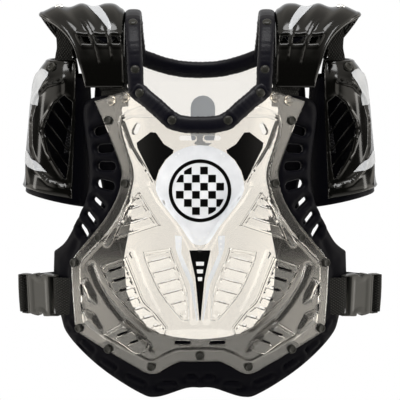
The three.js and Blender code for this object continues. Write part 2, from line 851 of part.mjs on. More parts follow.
function chestLiner() {
  const windows = WINDOWS.map((row) => {
    const at = onLiner(row);
    return slotLoop(at.x, at.y, WINDOW_LENGTH, WINDOW_WIDTH, row.turn);
  });
  let liner = sheet(chest, chestLinerLoop, linerFront, linerFront + LINER_THICK, bothSides(windows));
  const beyond = LINER_HALF_WIDTH * POCKET_REACH;
  const tuck = chestWebTop - CHEST_WEB_TUCK;
  for (const pocket of pockets(chest, chestLoop, PLATE_WALL, beyond, chestWebX, tuck)) {
    liner = liner.subtract(pocket);
  }
  const restX = inFrame(socketBar - RETURN_LENGTH, 0, 0).x - BAR_HALF * 2;
  const restHalf = BUCKLE_WIDTH / 2 + GAP * 8;
  const rest = pocketLoop(restX, beyond, -SIDE_WEB_DROP - restHalf, -SIDE_WEB_DROP + restHalf);
  for (const area of bothSides([rest])) {
    liner = liner.subtract(sheet(chest, area, linerFront - 1, linerFront + BUCKLE_REST));
  }
  const grooves = GROOVES.map((row) => {
    const at = onLiner(row);
    return slitLoop(at.x, at.y, row.length * LINER_HALF_WIDTH, GROOVE_WIDTH, row.turn);
  });
  for (const loop of bothSides(grooves)) {
    liner = liner.subtract(sheet(chest, loop, linerFront - 1, linerFront + GROOVE_DEPTH));
  }
  return liner;
}

function backLiner() {
  const face = BACK_WALL + GAP;
  let liner = sheet(back, backLinerLoop, face, face + LINER_THICK);
  const beyond = BACK_LINER_HALF_WIDTH * POCKET_REACH;
  const tuck = backWebTop - CHEST_WEB_TUCK;
  for (const pocket of pockets(back, backLoop, BACK_WALL, beyond, chestWebX, tuck)) {
    liner = liner.subtract(pocket);
  }
  return liner;
}

// Padded neck rolls and straps

const ROLL_SIDES = 8;

// Rings of a padded tube along middle points, each with its own outward and sideways direction.
function paddedRings(stations, width, thick) {
  return stations.map(({ at, outward, sideways, swell = 1 }) =>
    Array.from({ length: ROLL_SIDES }, (_, i) => {
      const angle = ((i + 0.5) / ROLL_SIDES) * 2 * Math.PI;
      return at
        .clone()
        .addScaledVector(sideways, (Math.cos(angle) * width * swell) / 2)
        .addScaledVector(outward, (Math.sin(angle) * thick * swell) / 2);
    }),
  );
}

// The neck roll follows the plate's neck edge and grips it in a groove.
function neckRoll(form, half, neckPoints, plateLoop, wallThick, grow = 0) {
  const neck = half.slice(0, neckPoints).filter((_, i) => i % 2 === 0 || i === neckPoints - 1);
  const line = [...mirrored(neck.slice(1)), ...neck].map((p) => panelPoint(form, p.x, p.y, wallThick / 2));
  const stations = line.map((at, i) => {
    const along = line[Math.min(i + 1, line.length - 1)].clone().sub(line[Math.max(i - 1, 0)]).normalize();
    const outward = panelNormal(form, at.x, at.z);
    return { at, outward, sideways: new THREE.Vector3().crossVectors(along, outward).normalize() };
  });
  const roll = solidOf(tube(paddedRings(stations, ROLL_WIDTH + grow * 2, ROLL_THICK + grow * 2)));
  return roll.subtract(sheet(form, grown(plateLoop, GAP), -GAP, wallThick + GAP));
}

// The neck strap's middle line in y and z, from the chest plate over the shoulder to the back plate.
function neckStrapLine(xAtFoot) {
  const chestFoot = panelPoint(chest, xAtFoot, -PLATE_TOP_DROP - ROLL_WIDTH / 2, PLATE_WALL / 2);
  const backFoot = panelPoint(back, xAtFoot, -BACK_TOP_DROP - ROLL_WIDTH / 2, BACK_WALL / 2);
  const crest = new THREE.Vector3(xAtFoot, 0, NECK_STRAP_CREST);
  const between = (foot, share, lift) =>
    new THREE.Vector3(xAtFoot, foot.y * share, foot.z + (crest.z - foot.z) * lift);
  return [
    chestFoot,
    between(chestFoot, 0.9, 0.33),
    between(chestFoot, 0.77, 0.62),
    between(chestFoot, 0.5, 0.89),
    crest,
    between(backFoot, 0.45, 0.87),
    between(backFoot, 0.75, 0.55),
    between(backFoot, 0.93, 0.25),
    backFoot,
  ];
}

function neckStrapStations(line) {
  const curve = new THREE.CatmullRomCurve3(line);
  const steps = 9;
  return Array.from({ length: steps + 1 }, (_, i) => {
    const share = i / steps;
    const at = curve.getPoint(share);
    const along = curve.getTangent(share);
    const sideways = new THREE.Vector3(1, 0, 0);
    at.x += NECK_STRAP_SPREAD * Math.sin(share * Math.PI);
    return { at, outward: new THREE.Vector3().crossVectors(sideways, along).normalize(), sideways };
  });
}

function neckStrap() {
  const stations = neckStrapStations(neckStrapLine(NECK_STRAP_X));
  let padded = solidOf(tube(paddedRings(stations, NECK_STRAP_WIDTH, NECK_STRAP_THICK)));
  padded = padded.subtract(sheet(chest, grown(chestLoop, GAP), -GAP, PLATE_WALL + GAP));
  padded = padded.subtract(sheet(back, grown(backLoop, GAP), -GAP, BACK_WALL + GAP));
  const chestRear = linerFront + LINER_THICK + GAP;
  const backRear = BACK_WALL + LINER_THICK + GAP * 2;
  padded = padded.subtract(sheet(chest, grown(chestLinerLoop, GAP), PLATE_WALL, chestRear));
  padded = padded.subtract(sheet(back, grown(backLinerLoop, GAP), BACK_WALL, backRear));
  padded = padded.subtract(neckRoll(chest, chestHalf, CHEST_NECK_POINTS, chestLoop, PLATE_WALL, GAP));
  padded = padded.subtract(neckRoll(back, backHalf, BACK_NECK_POINTS, backLoop, BACK_WALL, GAP));
  return padded.decompose().sort((a, b) => b.volume() - a.volume())[0];
}

// Shoulder guards

// The value of a column between a table's rows.
function lookUp(table, key, value, at) {
  const next = table.findIndex((row) => row[key] >= at);
  if (next <= 0) return table[next === 0 ? 0 : table.length - 1][value];
  const [a, b] = [table[next - 1], table[next]];
  return a[value] + ((b[value] - a[value]) * (at - a[key])) / (b[key] - a[key]);
}

// The guard's face without its flutes: angle runs from the front foot to the back one, in degrees.
function guardBase(angle, across) {
  const width = GUARD_WIDTH * lookUp(GUARD_ARCH, "angle", "width", angle);
  const lift = Math.cos(angle * DEGREE);
  const droop = GUARD_DROOP * Math.max(0, (width * across - GUARD_WIDTH * 0.5) / (GUARD_WIDTH * 0.5)) ** 2;
  return new THREE.Vector3(
    GUARD_INNER_X + width * across,
    GUARD_HALF_SPAN * Math.sin(angle * DEGREE),
    GUARD_CREST - GUARD_HEIGHT * (1 - lift) - droop,
  );
}

function guardGrid(angles, acrosses, sunk, fluted) {
  const base = angles.map((angle) => acrosses.map((across) => guardBase(angle, across)));
  const normals = gridNormals(base);
  return base.map((row, i) =>
    row.map((p, j) => {
      const fade = Math.max(0, Math.cos(angles[i] * DEGREE) - Math.cos(FLUTE_END * DEGREE));
      const flute = fluted ? FLUTE_RISE * fade * 2 * lookUp(FLUTES, "across", "rise", acrosses[j]) : 0;
      const up = normals[i][j].z < 0 ? -1 : 1;
      return p.clone().addScaledVector(normals[i][j], up * (flute - sunk));
    }),
  );
}

const evenly = (from, to, count) =>
  Array.from({ length: count }, (_, i) => from + ((to - from) * i) / (count - 1));
const guardAngles = GUARD_ARCH.map((row) => row.angle);

function shoulderGuard() {
  const acrosses = FLUTES.map((row) => row.across);
  const face = (sunk) => guardGrid(guardAngles, acrosses, sunk, true);
  let guard = solidOf(wall(face(0), face(GUARD_WALL)));
  const width = GUARD_WIDTH * lookUp(GUARD_ARCH, "angle", "width", -GUARD_SLOT_ANGLE);
  for (const slot of GUARD_SLOTS) {
    const at = guardBase(-GUARD_SLOT_ANGLE, slot.across);
    const loop = slitLoop(at.x, at.z, width * GUARD_SLOT_SHARE, GUARD_SLOT_HEIGHT, 0);
    guard = guard.subtract(cutter(loop, [], -CUT_REACH, 0));
  }
  return guard;
}

const PAD_ACROSS = [0.05, 0.6]; // shares of the guard's width that the foam lines
const PAD_ANGLE = 56; // degrees from the crest

function shoulderPad() {
  const angles = evenly(-PAD_ANGLE, PAD_ANGLE, 9);
  const acrosses = evenly(...PAD_ACROSS, 4);
  const face = GUARD_WALL + GAP * 3;
  return wall(guardGrid(angles, acrosses, face, false), guardGrid(angles, acrosses, face + PAD_THICK, false));
}

// Webbing between a plate and the shoulder guard

const chestWebInner = NECK_STRAP_X + NECK_STRAP_WIDTH / 2 + 1;
const chestWebX = [chestWebInner, chestWebInner + CHEST_WEB_WIDTH];
const chestWebTop = -PLATE_TOP_DROP - 3;
const backWebTop = -BACK_TOP_DROP - 3;

// Rows of middle points: up behind the plate, past its edge, then up under the guard's foot.
function shoulderWeb(form, wallThick, topZ, footAngles) {
  const columns = evenly(...chestWebX, 3);
  const behind = evenly(topZ - CHEST_WEB_TUCK, topZ, 3).map((z) =>
    columns.map((x) => panelPoint(form, x, z, webDepth(form, wallThick))),
  );
  const inset = GUARD_WALL + GAP * 3 + WEB_THICK / 2;
  const under = footAngles.map((angle) => {
    const foot = guardBase(form.facing * angle, 0);
    const y = foot.y - form.facing * inset * Math.sin(angle * DEGREE);
    return columns.map((x) => new THREE.Vector3(x, y, foot.z - inset * Math.cos(angle * DEGREE)));
  });
  const tip = under[0].map((p) => p.clone().setZ(p.z - CHEST_WEB_TUCK * 0.15));
  return strap([...behind, tip, ...under], WEB_THICK);
}

// Arm guards

// A point of the arm guard's face: down its length, round it in degrees from straight out, and sunk.
function armPoint(down, round, sunk) {
  const reach = ARM_REACH * lookUp(ARM_SECTIONS, "down", "reach", down) - sunk;
  const depth = ARM_HALF_DEPTH * lookUp(ARM_SECTIONS, "down", "depth", down) - sunk;
  const length = ARM_LENGTH * (1 - (ARM_HEM_SLANT * (1 + Math.cos(round * DEGREE))) / 2);
  const fall = down * length;
  return new THREE.Vector3(
    ARM_X + reach * Math.cos(round * DEGREE) + ARM_LEAN * fall,
    ARM_Y + depth * Math.sin(round * DEGREE),
    -ARM_TOP_DROP - fall,
  );
}

const armRounds = evenly(-ARM_EDGE, ARM_EDGE, 10);
const ARM_BACK = 90; // degrees round the arm guard, with the front at the same angle the other way
const armGrid = (downs, rounds, sunk) =>
  downs.map((down) => rounds.map((round) => armPoint(down, round, sunk)));

// One end of each slanted vent, or the other, in x and z.
function armSlotEnd(row, side) {
  const at = armPoint(row.down, -ARM_BACK, 0);
  const along = (side * row.length * ARM_REACH) / 2;
  return new THREE.Vector2(
    at.x + row.out * ARM_REACH + along * Math.cos(ARM_SLOT_TILT * DEGREE),
    at.z + along * Math.sin(ARM_SLOT_TILT * DEGREE),
  );
}

function armSlots(solid) {
  let cut = solid;
  for (const row of ARM_SLOTS) {
    const middle = armSlotEnd(row, 0);
    const loop = slitLoop(middle.x, middle.y, row.length * ARM_REACH, ARM_SLOT_WIDTH, ARM_SLOT_TILT);
    cut = cut.subtract(cutter(loop, [], ARM_Y - CUT_REACH, ARM_Y));
  }
  return cut;
}

// The opening of the foam behind the vents.
function armWindow() {
  const rows = [ARM_SLOTS[0], ARM_SLOTS[2], ARM_SLOTS[ARM_SLOTS.length - 1]];
  const lower = rows.map((row) => armSlotEnd(row, -1));
  return [...lower, ...rows.map((row) => armSlotEnd(row, 1)).reverse()];
}

function armGuard() {
  const downs = ARM_SECTIONS.map((row) => row.down);
  return armSlots(solidOf(wall(armGrid(downs, armRounds, 0), armGrid(downs, armRounds, ARM_WALL))));
}

const ARM_LINER_START = 0.11;
const HANGER_NOTCH = 34; // how far down the arm guard its foam is cut away round the hanger
const hangerX = () => [ARM_X - 4, ARM_X - 4 + HANGER_WIDTH];

function armLiner() {
  const end = 1 + ARM_LINER_SHOW / ARM_LENGTH;
  const downs = [...ARM_SECTIONS.map((row) => row.down).filter((down) => down >= ARM_LINER_START), end];
  const rounds = [-ARM_LINER_EDGE, ...armRounds, ARM_LINER_EDGE];
  const face = ARM_WALL + GAP * 2;
  let liner = solidOf(wall(armGrid(downs, rounds, face), armGrid(downs, rounds, face + ARM_LINER_THICK)));
  const [inner, outer] = hangerX();
  const notch = pocketLoop(inner - GAP * 3, outer + GAP * 7, -ARM_TOP_DROP - HANGER_NOTCH, -ARM_TOP_DROP);
  for (const loop of [armWindow(), notch]) {
    liner = liner.subtract(cutter(loop, [], ARM_Y - CUT_REACH, ARM_Y));
  }
  return liner;
}

// The hanger: under the guard's outer part, down, and inside the top of the arm guard.
function armHanger() {
  const out = hangerX();
  const inset = GUARD_WALL + GAP * 2 + WEB_THICK / 2;
  const under = [-4, -20].map((angle) =>
    out.map((x) => {
      const p = guardBase(angle, (x - GUARD_INNER_X) / GUARD_WIDTH);
      const lift = new THREE.Vector3(0, Math.sin(angle * DEGREE), Math.cos(angle * DEGREE));
      return p.addScaledVector(lift, -inset);
    }),
  );
  const sunk = ARM_WALL + GAP * 2 + WEB_THICK / 2;
  const inside = [0, 0.07, 0.17].map((down) =>
    out.map((x) => {
      const reach = ARM_REACH * lookUp(ARM_SECTIONS, "down", "reach", down) - sunk;
      const round = Math.acos(Math.min(0.9, (x - ARM_X) / reach)) / DEGREE;
      return armPoint(down, -round, sunk + GAP);
    }),
  );
  const hang = [0.35, 0.75].map((share) =>
    out.map((x, j) => under[1][j].clone().lerp(inside[0][j], share).setX(x)),
  );
  hang[0].forEach((p) => p.setY(p.y - 4));
  return strap([...under, ...hang, ...inside], WEB_THICK);
}

// The elastic closes the arm guard round the arm: outside the shell behind, across, and inside the
// liner in front.
function armElastic() {
  const outside = armRounds.slice(-3).map((round) => ({ round, sunk: -GAP - ELASTIC_THICK }));
  const insideDepth = ARM_WALL + ARM_LINER_THICK + GAP * 3 + ELASTIC_THICK;
  const inside = [-ARM_LINER_EDGE + 8, -ARM_LINER_EDGE + 28].map((round) => ({ round, sunk: insideDepth }));
  const heights = [-1, 1].map((side) => ELASTIC_DOWN + (side * ELASTIC_WIDTH) / 2 / ARM_LENGTH);
  const around = ({ round, sunk }) => heights.map((down) => armPoint(down, round, sunk));
  const across = ({ out, along }) =>
    heights.map((down) => {
      const back = armPoint(down, ARM_BACK, 0);
      return new THREE.Vector3(back.x + out * ARM_REACH, ARM_Y + along * ARM_HALF_DEPTH, back.z);
    });
  return strap([...outside.map(around), ...ELASTIC_ROUTE.map(across), ...inside.map(around)], ELASTIC_THICK);
}

// Side straps and buckles

// A frame where the chest webbing leaves the plate: along the strap, across it and out of it.
const exitX = Math.max(...sideWebZ.map((z) => edgeAt(chestLoop, z))) + GAP * 4;
const chestWebDepth = webDepth(chest, PLATE_WALL);
const exitPoint = (z) => panelPoint(chest, exitX, z, chestWebDepth);
const strapFrame = (() => {
  const origin = exitPoint(-SIDE_WEB_DROP);
  const before = panelPoint(chest, exitX - 1, -SIDE_WEB_DROP, chestWebDepth);
  const along = origin.clone().sub(before).normalize();
  const across = exitPoint(sideWebZ[1]).sub(exitPoint(sideWebZ[0]));
  across.addScaledVector(along, -across.dot(along)).normalize();
  along.applyAxisAngle(across, -SIDE_WEB_LEAN * DEGREE);
  return { origin, along, across, out: new THREE.Vector3().crossVectors(along, across).normalize() };
})();

const inFrame = (s, n, w) =>
  strapFrame.origin
    .clone()
    .addScaledVector(strapFrame.along, s)
    .addScaledVector(strapFrame.out, n)
    .addScaledVector(strapFrame.across, w);

const barWrap = BAR_HALF * 1.45 + GAP + WEB_THICK / 2; // radius of webbing wrapped round a bar
const RETURN_LENGTH = 12; // webbing folded back past a bar
const socketBar = SIDE_WEB_RUN;
const socketBodyStart = socketBar + SOCKET_WINDOW + BAR_HALF;
const socketEnd = socketBodyStart + SOCKET_BODY;
const insertStart = socketEnd + GAP;
const insertBar = insertStart + INSERT_BASE + INSERT_WINDOW + BAR_HALF;

// Points of webbing that comes along u, wraps round a bar at the origin and folds back.
function wrapPoints() {
  const arc = evenly(90, -90, 5).map((angle) => ({
    u: barWrap * Math.cos(angle * DEGREE),
    v: barWrap * Math.sin(angle * DEGREE),
  }));
  return [{ u: -RETURN_LENGTH * 0.7, v: barWrap * 0.75 }, ...arc, { u: -RETURN_LENGTH, v: -barWrap }];
}

function sideWebChest() {
  const half = SIDE_WEB_WIDTH / 2;
  const columns = [-half, 0, half];
  const behind = evenly(exitX - SIDE_WEB_TUCK, exitX, 4).map((x) =>
    columns.map((w) => panelPoint(chest, x, -SIDE_WEB_DROP + w, chestWebDepth)),
  );
  const wrap = wrapPoints().map(({ u, v }) => columns.map((w) => inFrame(socketBar + u, v, w)));
  return strap([...behind, ...wrap], WEB_THICK);
}

function sideWebBack() {
  const half = SIDE_WEB_WIDTH / 2;
  const columns = [-half, 0, half];
  const edge = edgeAt(backLoop, -SIDE_WEB_DROP);
  const depth = webDepth(back, BACK_WALL);
  const behind = evenly(edge - SIDE_WEB_TUCK, edge, 4).map((x) =>
    columns.map((w) => panelPoint(back, x, -SIDE_WEB_DROP + w, depth)),
  );
  const bar = columns.map((w) => inFrame(insertBar, 0, w));
  const leave = behind[behind.length - 1];
  const toBar = bar[1].clone().sub(leave[1]).normalize();
  const side = new THREE.Vector3().crossVectors(toBar, strapFrame.across).normalize();
  const wrap = wrapPoints().map(({ u, v }) =>
    bar.map((p) => p.clone().addScaledVector(toBar, u).addScaledVector(side, v)),
  );
  const run = [0.35, 0.7].map((share) => leave.map((p, j) => p.clone().lerp(wrap[0][j], share)));
  return strap([...behind, ...run, ...wrap], WEB_THICK);
}

// Puts a solid drawn in the strap's own axes, along, across and out, in its place.
function inStrap(geometry) {
  const basis = new THREE.Matrix4().makeBasis(strapFrame.along, strapFrame.across, strapFrame.out);
  return solidOf(geometry.applyMatrix4(basis.setPosition(strapFrame.origin)));
}

// A block from s to s along the strap, n to n out of it, and w to w across it.
function block(s0, s1, n0, n1, w0, w1) {
  const box = new THREE.BoxGeometry(s1 - s0, w1 - w0, n1 - n0);
  return inStrap(box.translate((s0 + s1) / 2, (w0 + w1) / 2, (n0 + n1) / 2));
}

// A plate with cut corners, in the middle of the strap.
function roundedPlate(s0, s1, width, thick, corner) {
  const half = width / 2;
  const shape = new THREE.Shape(
    [
      [s0 + corner, -half],
      [s1 - corner, -half],
      [s1, -half + corner],
      [s1, half - corner],
      [s1 - corner, half],
      [s0 + corner, half],
      [s0, half - corner],
      [s0, -half + corner],
    ].map(([s, w]) => new THREE.Vector2(s, w)),
  );
  const geometry = new THREE.ExtrudeGeometry(shape, { depth: thick, bevelEnabled: false });
  return inStrap(geometry.translate(0, 0, -thick / 2));
}

const frameHalf = SIDE_WEB_WIDTH / 2 + 1; // half of a window that webbing passes through
const prongHalf = BUCKLE_THICK / 2 - BUCKLE_WALL - GAP;
const PRONG_PITCH = 17;
const PRONG_HALF_WIDTH = 4;

function buckleSocket() {
  let socket = roundedPlate(socketBar - BAR_HALF, socketEnd, BUCKLE_WIDTH, BUCKLE_THICK, 3);
  const barTop = socketBar + BAR_HALF;
  const through = [-BUCKLE_THICK, BUCKLE_THICK];
  socket = socket.subtract(block(barTop, socketBodyStart, ...through, -frameHalf, frameHalf));
  for (const side of [-1, 1]) {
    const [n0, n1] = [side * BAR_HALF, side * BUCKLE_THICK].sort((a, b) => a - b);
    socket = socket.subtract(block(0, barTop + GAP, n0, n1, -frameHalf, frameHalf));
    const [w0, w1] = [side * (BUCKLE_WIDTH / 2 - 4), side * BUCKLE_WIDTH].sort((a, b) => a - b);
    const middle = (socketBodyStart + socketEnd) / 2;
    socket = socket.subtract(block(middle - 2, middle + 5, ...through, w0, w1));
  }
  const cavityHalf = BUCKLE_WIDTH / 2 - BUCKLE_WALL * 2;
  const roof = BUCKLE_THICK / 2 - BUCKLE_WALL;
  const cavity = [socketEnd - PRONG_LENGTH - 2, socketEnd + 5];
  return socket.subtract(block(...cavity, -roof, roof, -cavityHalf, cavityHalf));
}

function buckleInsert() {
  let insert = roundedPlate(insertStart, insertBar + BAR_HALF, BUCKLE_WIDTH - 2, BUCKLE_THICK - 3, 2);
  const windowStart = insertStart + INSERT_BASE;
  const barStart = insertBar - BAR_HALF;
  insert = insert.subtract(block(windowStart, barStart, -BUCKLE_THICK, BUCKLE_THICK, -frameHalf, frameHalf));
  for (const side of [-1, 1]) {
    const [n0, n1] = [side * BAR_HALF, side * BUCKLE_THICK].sort((a, b) => a - b);
    insert = insert.subtract(block(barStart - GAP, insertBar + BUCKLE_THICK, n0, n1, -frameHalf, frameHalf));
  }
  const prong = [insertStart - PRONG_LENGTH, insertStart + 1, -prongHalf, prongHalf];
  for (const w of [-PRONG_PITCH, 0, PRONG_PITCH]) {
    insert = insert.add(block(...prong, w - PRONG_HALF_WIDTH, w + PRONG_HALF_WIDTH));
  }
  return insert;
}

// Graphics

const DISC_TAPER = 28; // degrees below level where the disc's round side starts to taper
const DISC_TIP = 1.24; // how far below the disc's middle its tip is, in radii
const DISC_TIP_HALF = 5;

// The chest decal: a disc that tapers to a point, and two dark wings beside it, as one thin film.
function chestDecal() {
  const tip = DISC_DROP + DISC_RADIUS * DISC_TIP;
  const onDisc = (out, up) => new THREE.Vector2(out * DISC_RADIUS, -DISC_DROP + up * DISC_RADIUS);
  const disc = evenly(-DISC_TAPER, 180 + DISC_TAPER, 13).map((angle) =>
    onDisc(Math.cos(angle * DEGREE), Math.sin(angle * DEGREE)),
  );
  const point = [-DISC_TIP_HALF, DISC_TIP_HALF].map((x) => new THREE.Vector2(x, -tip));
  const film = sheet(chest, [...disc, ...point], -GAP - DECAL_THICK, -GAP);
  const wing = [
    [1.42, 1.06],
    [1.08, 1.29],
    [1.0, 1.27],
    [0.8, 0.99],
    [0.5, 0.8],
    [0.9, 0.2],
  ].map(([out, up]) => onDisc(out, up));
  return bothSides([wing]).reduce((sum, loop) => sum.add(sheet(chest, loop, -GAP - DECAL_THICK, -GAP)), film);
}

function backLabel() {
  const loop = slotLoop(0, -LABEL_DROP - LABEL_HEIGHT / 2, LABEL_HEIGHT, LABEL_WIDTH, 90);
  return sheet(back, loop, BACK_WALL + GAP, BACK_WALL + GAP + DECAL_THICK);
}

// Assembly

add(object, "front_plate", chestPlate(), CLEAR);
add(object, "front_liner", chestLiner(), FOAM);
add(object, "chest_decal", chestDecal(), WHITE);
add(object, "back_plate", sheet(back, backLoop, 0, BACK_WALL), CLEAR);
add(object, "back_liner", backLiner(), FOAM);
add(object, "back_label", backLabel(), GREY);
add(object, "neck_roll_front", neckRoll(chest, chestHalf, CHEST_NECK_POINTS, chestLoop, PLATE_WALL), PADDING);
add(object, "neck_roll_back", neckRoll(back, backHalf, BACK_NECK_POINTS, backLoop, BACK_WALL), PADDING);

addPair("neck_strap", neckStrap(), PADDING);
addPair("shoulder_guard", shoulderGuard(), GLOSS);
addPair("shoulder_pad", shoulderPad(), FOAM);
addPair("chest_webbing", shoulderWeb(chest, PLATE_WALL, chestWebTop, [88, 66]), WEBBING);
addPair("back_webbing", shoulderWeb(back, BACK_WALL, backWebTop, [71, 58]), WEBBING);
addPair("arm_webbing", armHanger(), WEBBING);
addPair("arm_guard", armGuard(), GLOSS);
addPair("arm_liner", armLiner(), FOAM);
addPair("arm_elastic", armElastic(), WEBBING);
addPair("side_webbing_front", sideWebChest(), WEBBING);
addPair("side_webbing_back", sideWebBack(), WEBBING);
addPair("buckle_socket", buckleSocket(), BUCKLE);
addPair("buckle_insert", buckleInsert(), BUCKLE);

add(object, "rivet_middle", plateRivet(MIDDLE_RIVET), STUD);
RIVETS.forEach((row, i) => addPair(`rivet_${i + 1}`, plateRivet(row), STUD));
CORNER_RIVETS.forEach((row, i) => addPair(`corner_rivet_${i + 1}`, plateRivet(row), STUD));

export default object;
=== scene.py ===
"""The fine model of a roost deflector: a clear chest and back plate on black foam, padded neck rolls and straps,
gloss black shoulder and arm guards, webbing and buckles. Sizes are in millimetres, in the CAD part's frame: +X right,
+Y to the back, +Z up, and the origin where the padded straps rest on the shoulders."""

import math

import bpy
import numpy as np
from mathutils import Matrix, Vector
from mathutils.geometry import delaunay_2d_cdt
from mathutils.kdtree import KDTree


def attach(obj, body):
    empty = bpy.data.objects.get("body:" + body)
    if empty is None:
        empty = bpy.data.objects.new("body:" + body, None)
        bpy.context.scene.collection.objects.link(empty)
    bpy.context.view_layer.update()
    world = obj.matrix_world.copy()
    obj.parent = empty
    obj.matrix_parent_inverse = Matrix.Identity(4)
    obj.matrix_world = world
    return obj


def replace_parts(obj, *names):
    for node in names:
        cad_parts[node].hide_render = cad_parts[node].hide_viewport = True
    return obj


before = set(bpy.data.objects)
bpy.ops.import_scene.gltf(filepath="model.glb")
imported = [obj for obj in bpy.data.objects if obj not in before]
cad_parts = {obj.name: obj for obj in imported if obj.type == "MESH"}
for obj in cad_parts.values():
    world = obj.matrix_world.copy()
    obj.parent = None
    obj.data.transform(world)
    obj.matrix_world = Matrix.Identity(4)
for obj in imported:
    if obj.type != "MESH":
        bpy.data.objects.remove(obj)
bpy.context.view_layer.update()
MM = 0.001
FINE = 1.0  # coarser meshes while trying things

# ------------------------------------------------------------------ materials


def principled(name, color, roughness, **values):
    mat = bpy.data.materials.new(name)
    mat.use_nodes = True
    shader = mat.node_tree.nodes["Principled BSDF"]
    shader.inputs["Base Color"].default_value = (*color, 1)
    shader.inputs["Roughness"].default_value = roughness
    for key, value in values.items():
        shader.inputs[key.replace("_", " ")].default_value = value
    return mat


def nodes_of(mat):
    return mat.node_tree.nodes, mat.node_tree.links, mat.node_tree.nodes["Principled BSDF"]


def add_noise_bump(mat, scale, strength, distance=0.0004, coords="Object", detail=4):
    nodes, links, shader = nodes_of(mat)
    where = nodes.new("ShaderNodeTexCoord")
    noise = nodes.new("ShaderNodeTexNoise")
    noise.inputs["Scale"].default_value = scale
    noise.inputs["Detail"].default_value = detail
    bump = nodes.new("ShaderNodeBump")
    bump.inputs["Strength"].default_value = strength
    bump.inputs["Distance"].default_value = distance
    links.new(where.outputs[coords], noise.inputs["Vector"])
    links.new(noise.outputs["Fac"], bump.inputs["Height"])
    links.new(bump.outputs["Normal"], shader.inputs["Normal"])
    return noise


def add_color_noise(mat, scale, low, high, coords="Object"):
    nodes, links, shader = nodes_of(mat)
    where = nodes.new("ShaderNodeTexCoord")
    noise = nodes.new("ShaderNodeTexNoise")
    noise.inputs["Scale"].default_value = scale
    noise.inputs["Detail"].default_value = 6
    ramp = nodes.new("ShaderNodeValToRGB")
    ramp.color_ramp.elements[0].position = 0.35
    ramp.color_ramp.elements[1].position = 0.7
    ramp.color_ramp.elements[0].color = (*low, 1)
    ramp.color_ramp.elements[1].color = (*high, 1)
    links.new(where.outputs[coords], noise.inputs["Vector"])
    links.new(noise.outputs["Fac"], ramp.inputs["Fac"])
    links.new(ramp.outputs["Color"], shader.inputs["Base Color"])


def woven(name, color, pitch=0.0021):
    """Webbing: rows of slanted ribs along the strap, from the UV map, which is in metres."""
    mat = principled(name, color, 0.62, Specular_IOR_Level=0.15)
    nodes, links, shader = nodes_of(mat)
    where = nodes.new("ShaderNodeTexCoord")
    waves = []
    for turn in (32, -32):
        mapping = nodes.new("ShaderNodeMapping")
        mapping.inputs["Rotation"].default_value = (0, 0, math.radians(turn))
        wave = nodes.new("ShaderNodeTexWave")
        wave.inputs["Scale"].default_value = 0.314 / pitch
        links.new(where.outputs["UV"], mapping.inputs["Vector"])
        links.new(mapping.outputs["Vector"], wave.inputs["Vector"])
        waves.append(wave)
    high = nodes.new("ShaderNodeMath")
    high.operation = "MULTIPLY"
    links.new(waves[0].outputs["Fac"], high.inputs[0])
    links.new(waves[1].outputs["Fac"], high.inputs[1])
    ramp = nodes.new("ShaderNodeValToRGB")
    ramp.color_ramp.elements[0].color = (color[0] * 0.35, color[1] * 0.35, color[2] * 0.35, 1)
    ramp.color_ramp.elements[1].color = (color[0] * 4, color[1] * 4, color[2] * 4, 1)
    links.new(high.outputs[0], ramp.inputs["Fac"])
    links.new(ramp.outputs["Color"], shader.inputs["Base Color"])
    bump = nodes.new("ShaderNodeBump")
    bump.inputs["Strength"].default_value = 1.0
    bump.inputs["Distance"].default_value = 0.0008
    links.new(high.outputs[0], bump.inputs["Height"])
    links.new(bump.outputs["Normal"], shader.inputs["Normal"])
    return mat


CLEAR = principled("clear shell", (0.962, 0.935, 0.89), 0.02, Transmission_Weight=0.975, IOR=1.585)
FOAM = principled("foam", (0.0016, 0.0016, 0.003), 0.42, Specular_IOR_Level=0.035)
add_noise_bump(FOAM, 900, 0.35, 0.0003)
PADDING = principled("padding", (0.0018, 0.0018, 0.0045), 0.38, Specular_IOR_Level=0.13)
add_noise_bump(PADDING, 260, 0.3, 0.0006)
GLOSS = principled("gloss black", (0.0012, 0.0012, 0.001), 0.13, Specular_IOR_Level=0.26)
add_noise_bump(GLOSS, 55, 0.02, 0.0006, detail=1)
WEBBING = woven("webbing", (0.006, 0.006, 0.0055), 0.003)
ELASTIC = woven("elastic", (0.006, 0.006, 0.007), 0.0034)
BUCKLE = principled("buckle plastic", (0.022, 0.022, 0.02), 0.34)
add_noise_bump(BUCKLE, 1500, 0.1, 0.0001)
STUD = principled("stud", (0.012, 0.012, 0.01), 0.3, Specular_IOR_Level=0.22)
SILVER = principled("silver film", (0.6, 0.62, 0.66), 0.3, Specular_IOR_Level=0.3)
add_color_noise(SILVER, 16, (0.5, 0.52, 0.56), (0.78, 0.8, 0.84))
FLASH = principled("flash film", (0.36, 0.375, 0.4), 0.3, Specular_IOR_Level=0.25)
WHITE = principled("white print", (0.7, 0.71, 0.73), 0.3)
BLACK = principled("black print", (0.002, 0.002, 0.002), 0.2, Specular_IOR_Level=0.2)
LABEL = principled("label", (0.36, 0.38, 0.41), 0.5)
CHROME = principled("bright rivet", (0.8, 0.8, 0.8), 0.12, Metallic=1)

# ------------------------------------------------------------------ curves and outlines


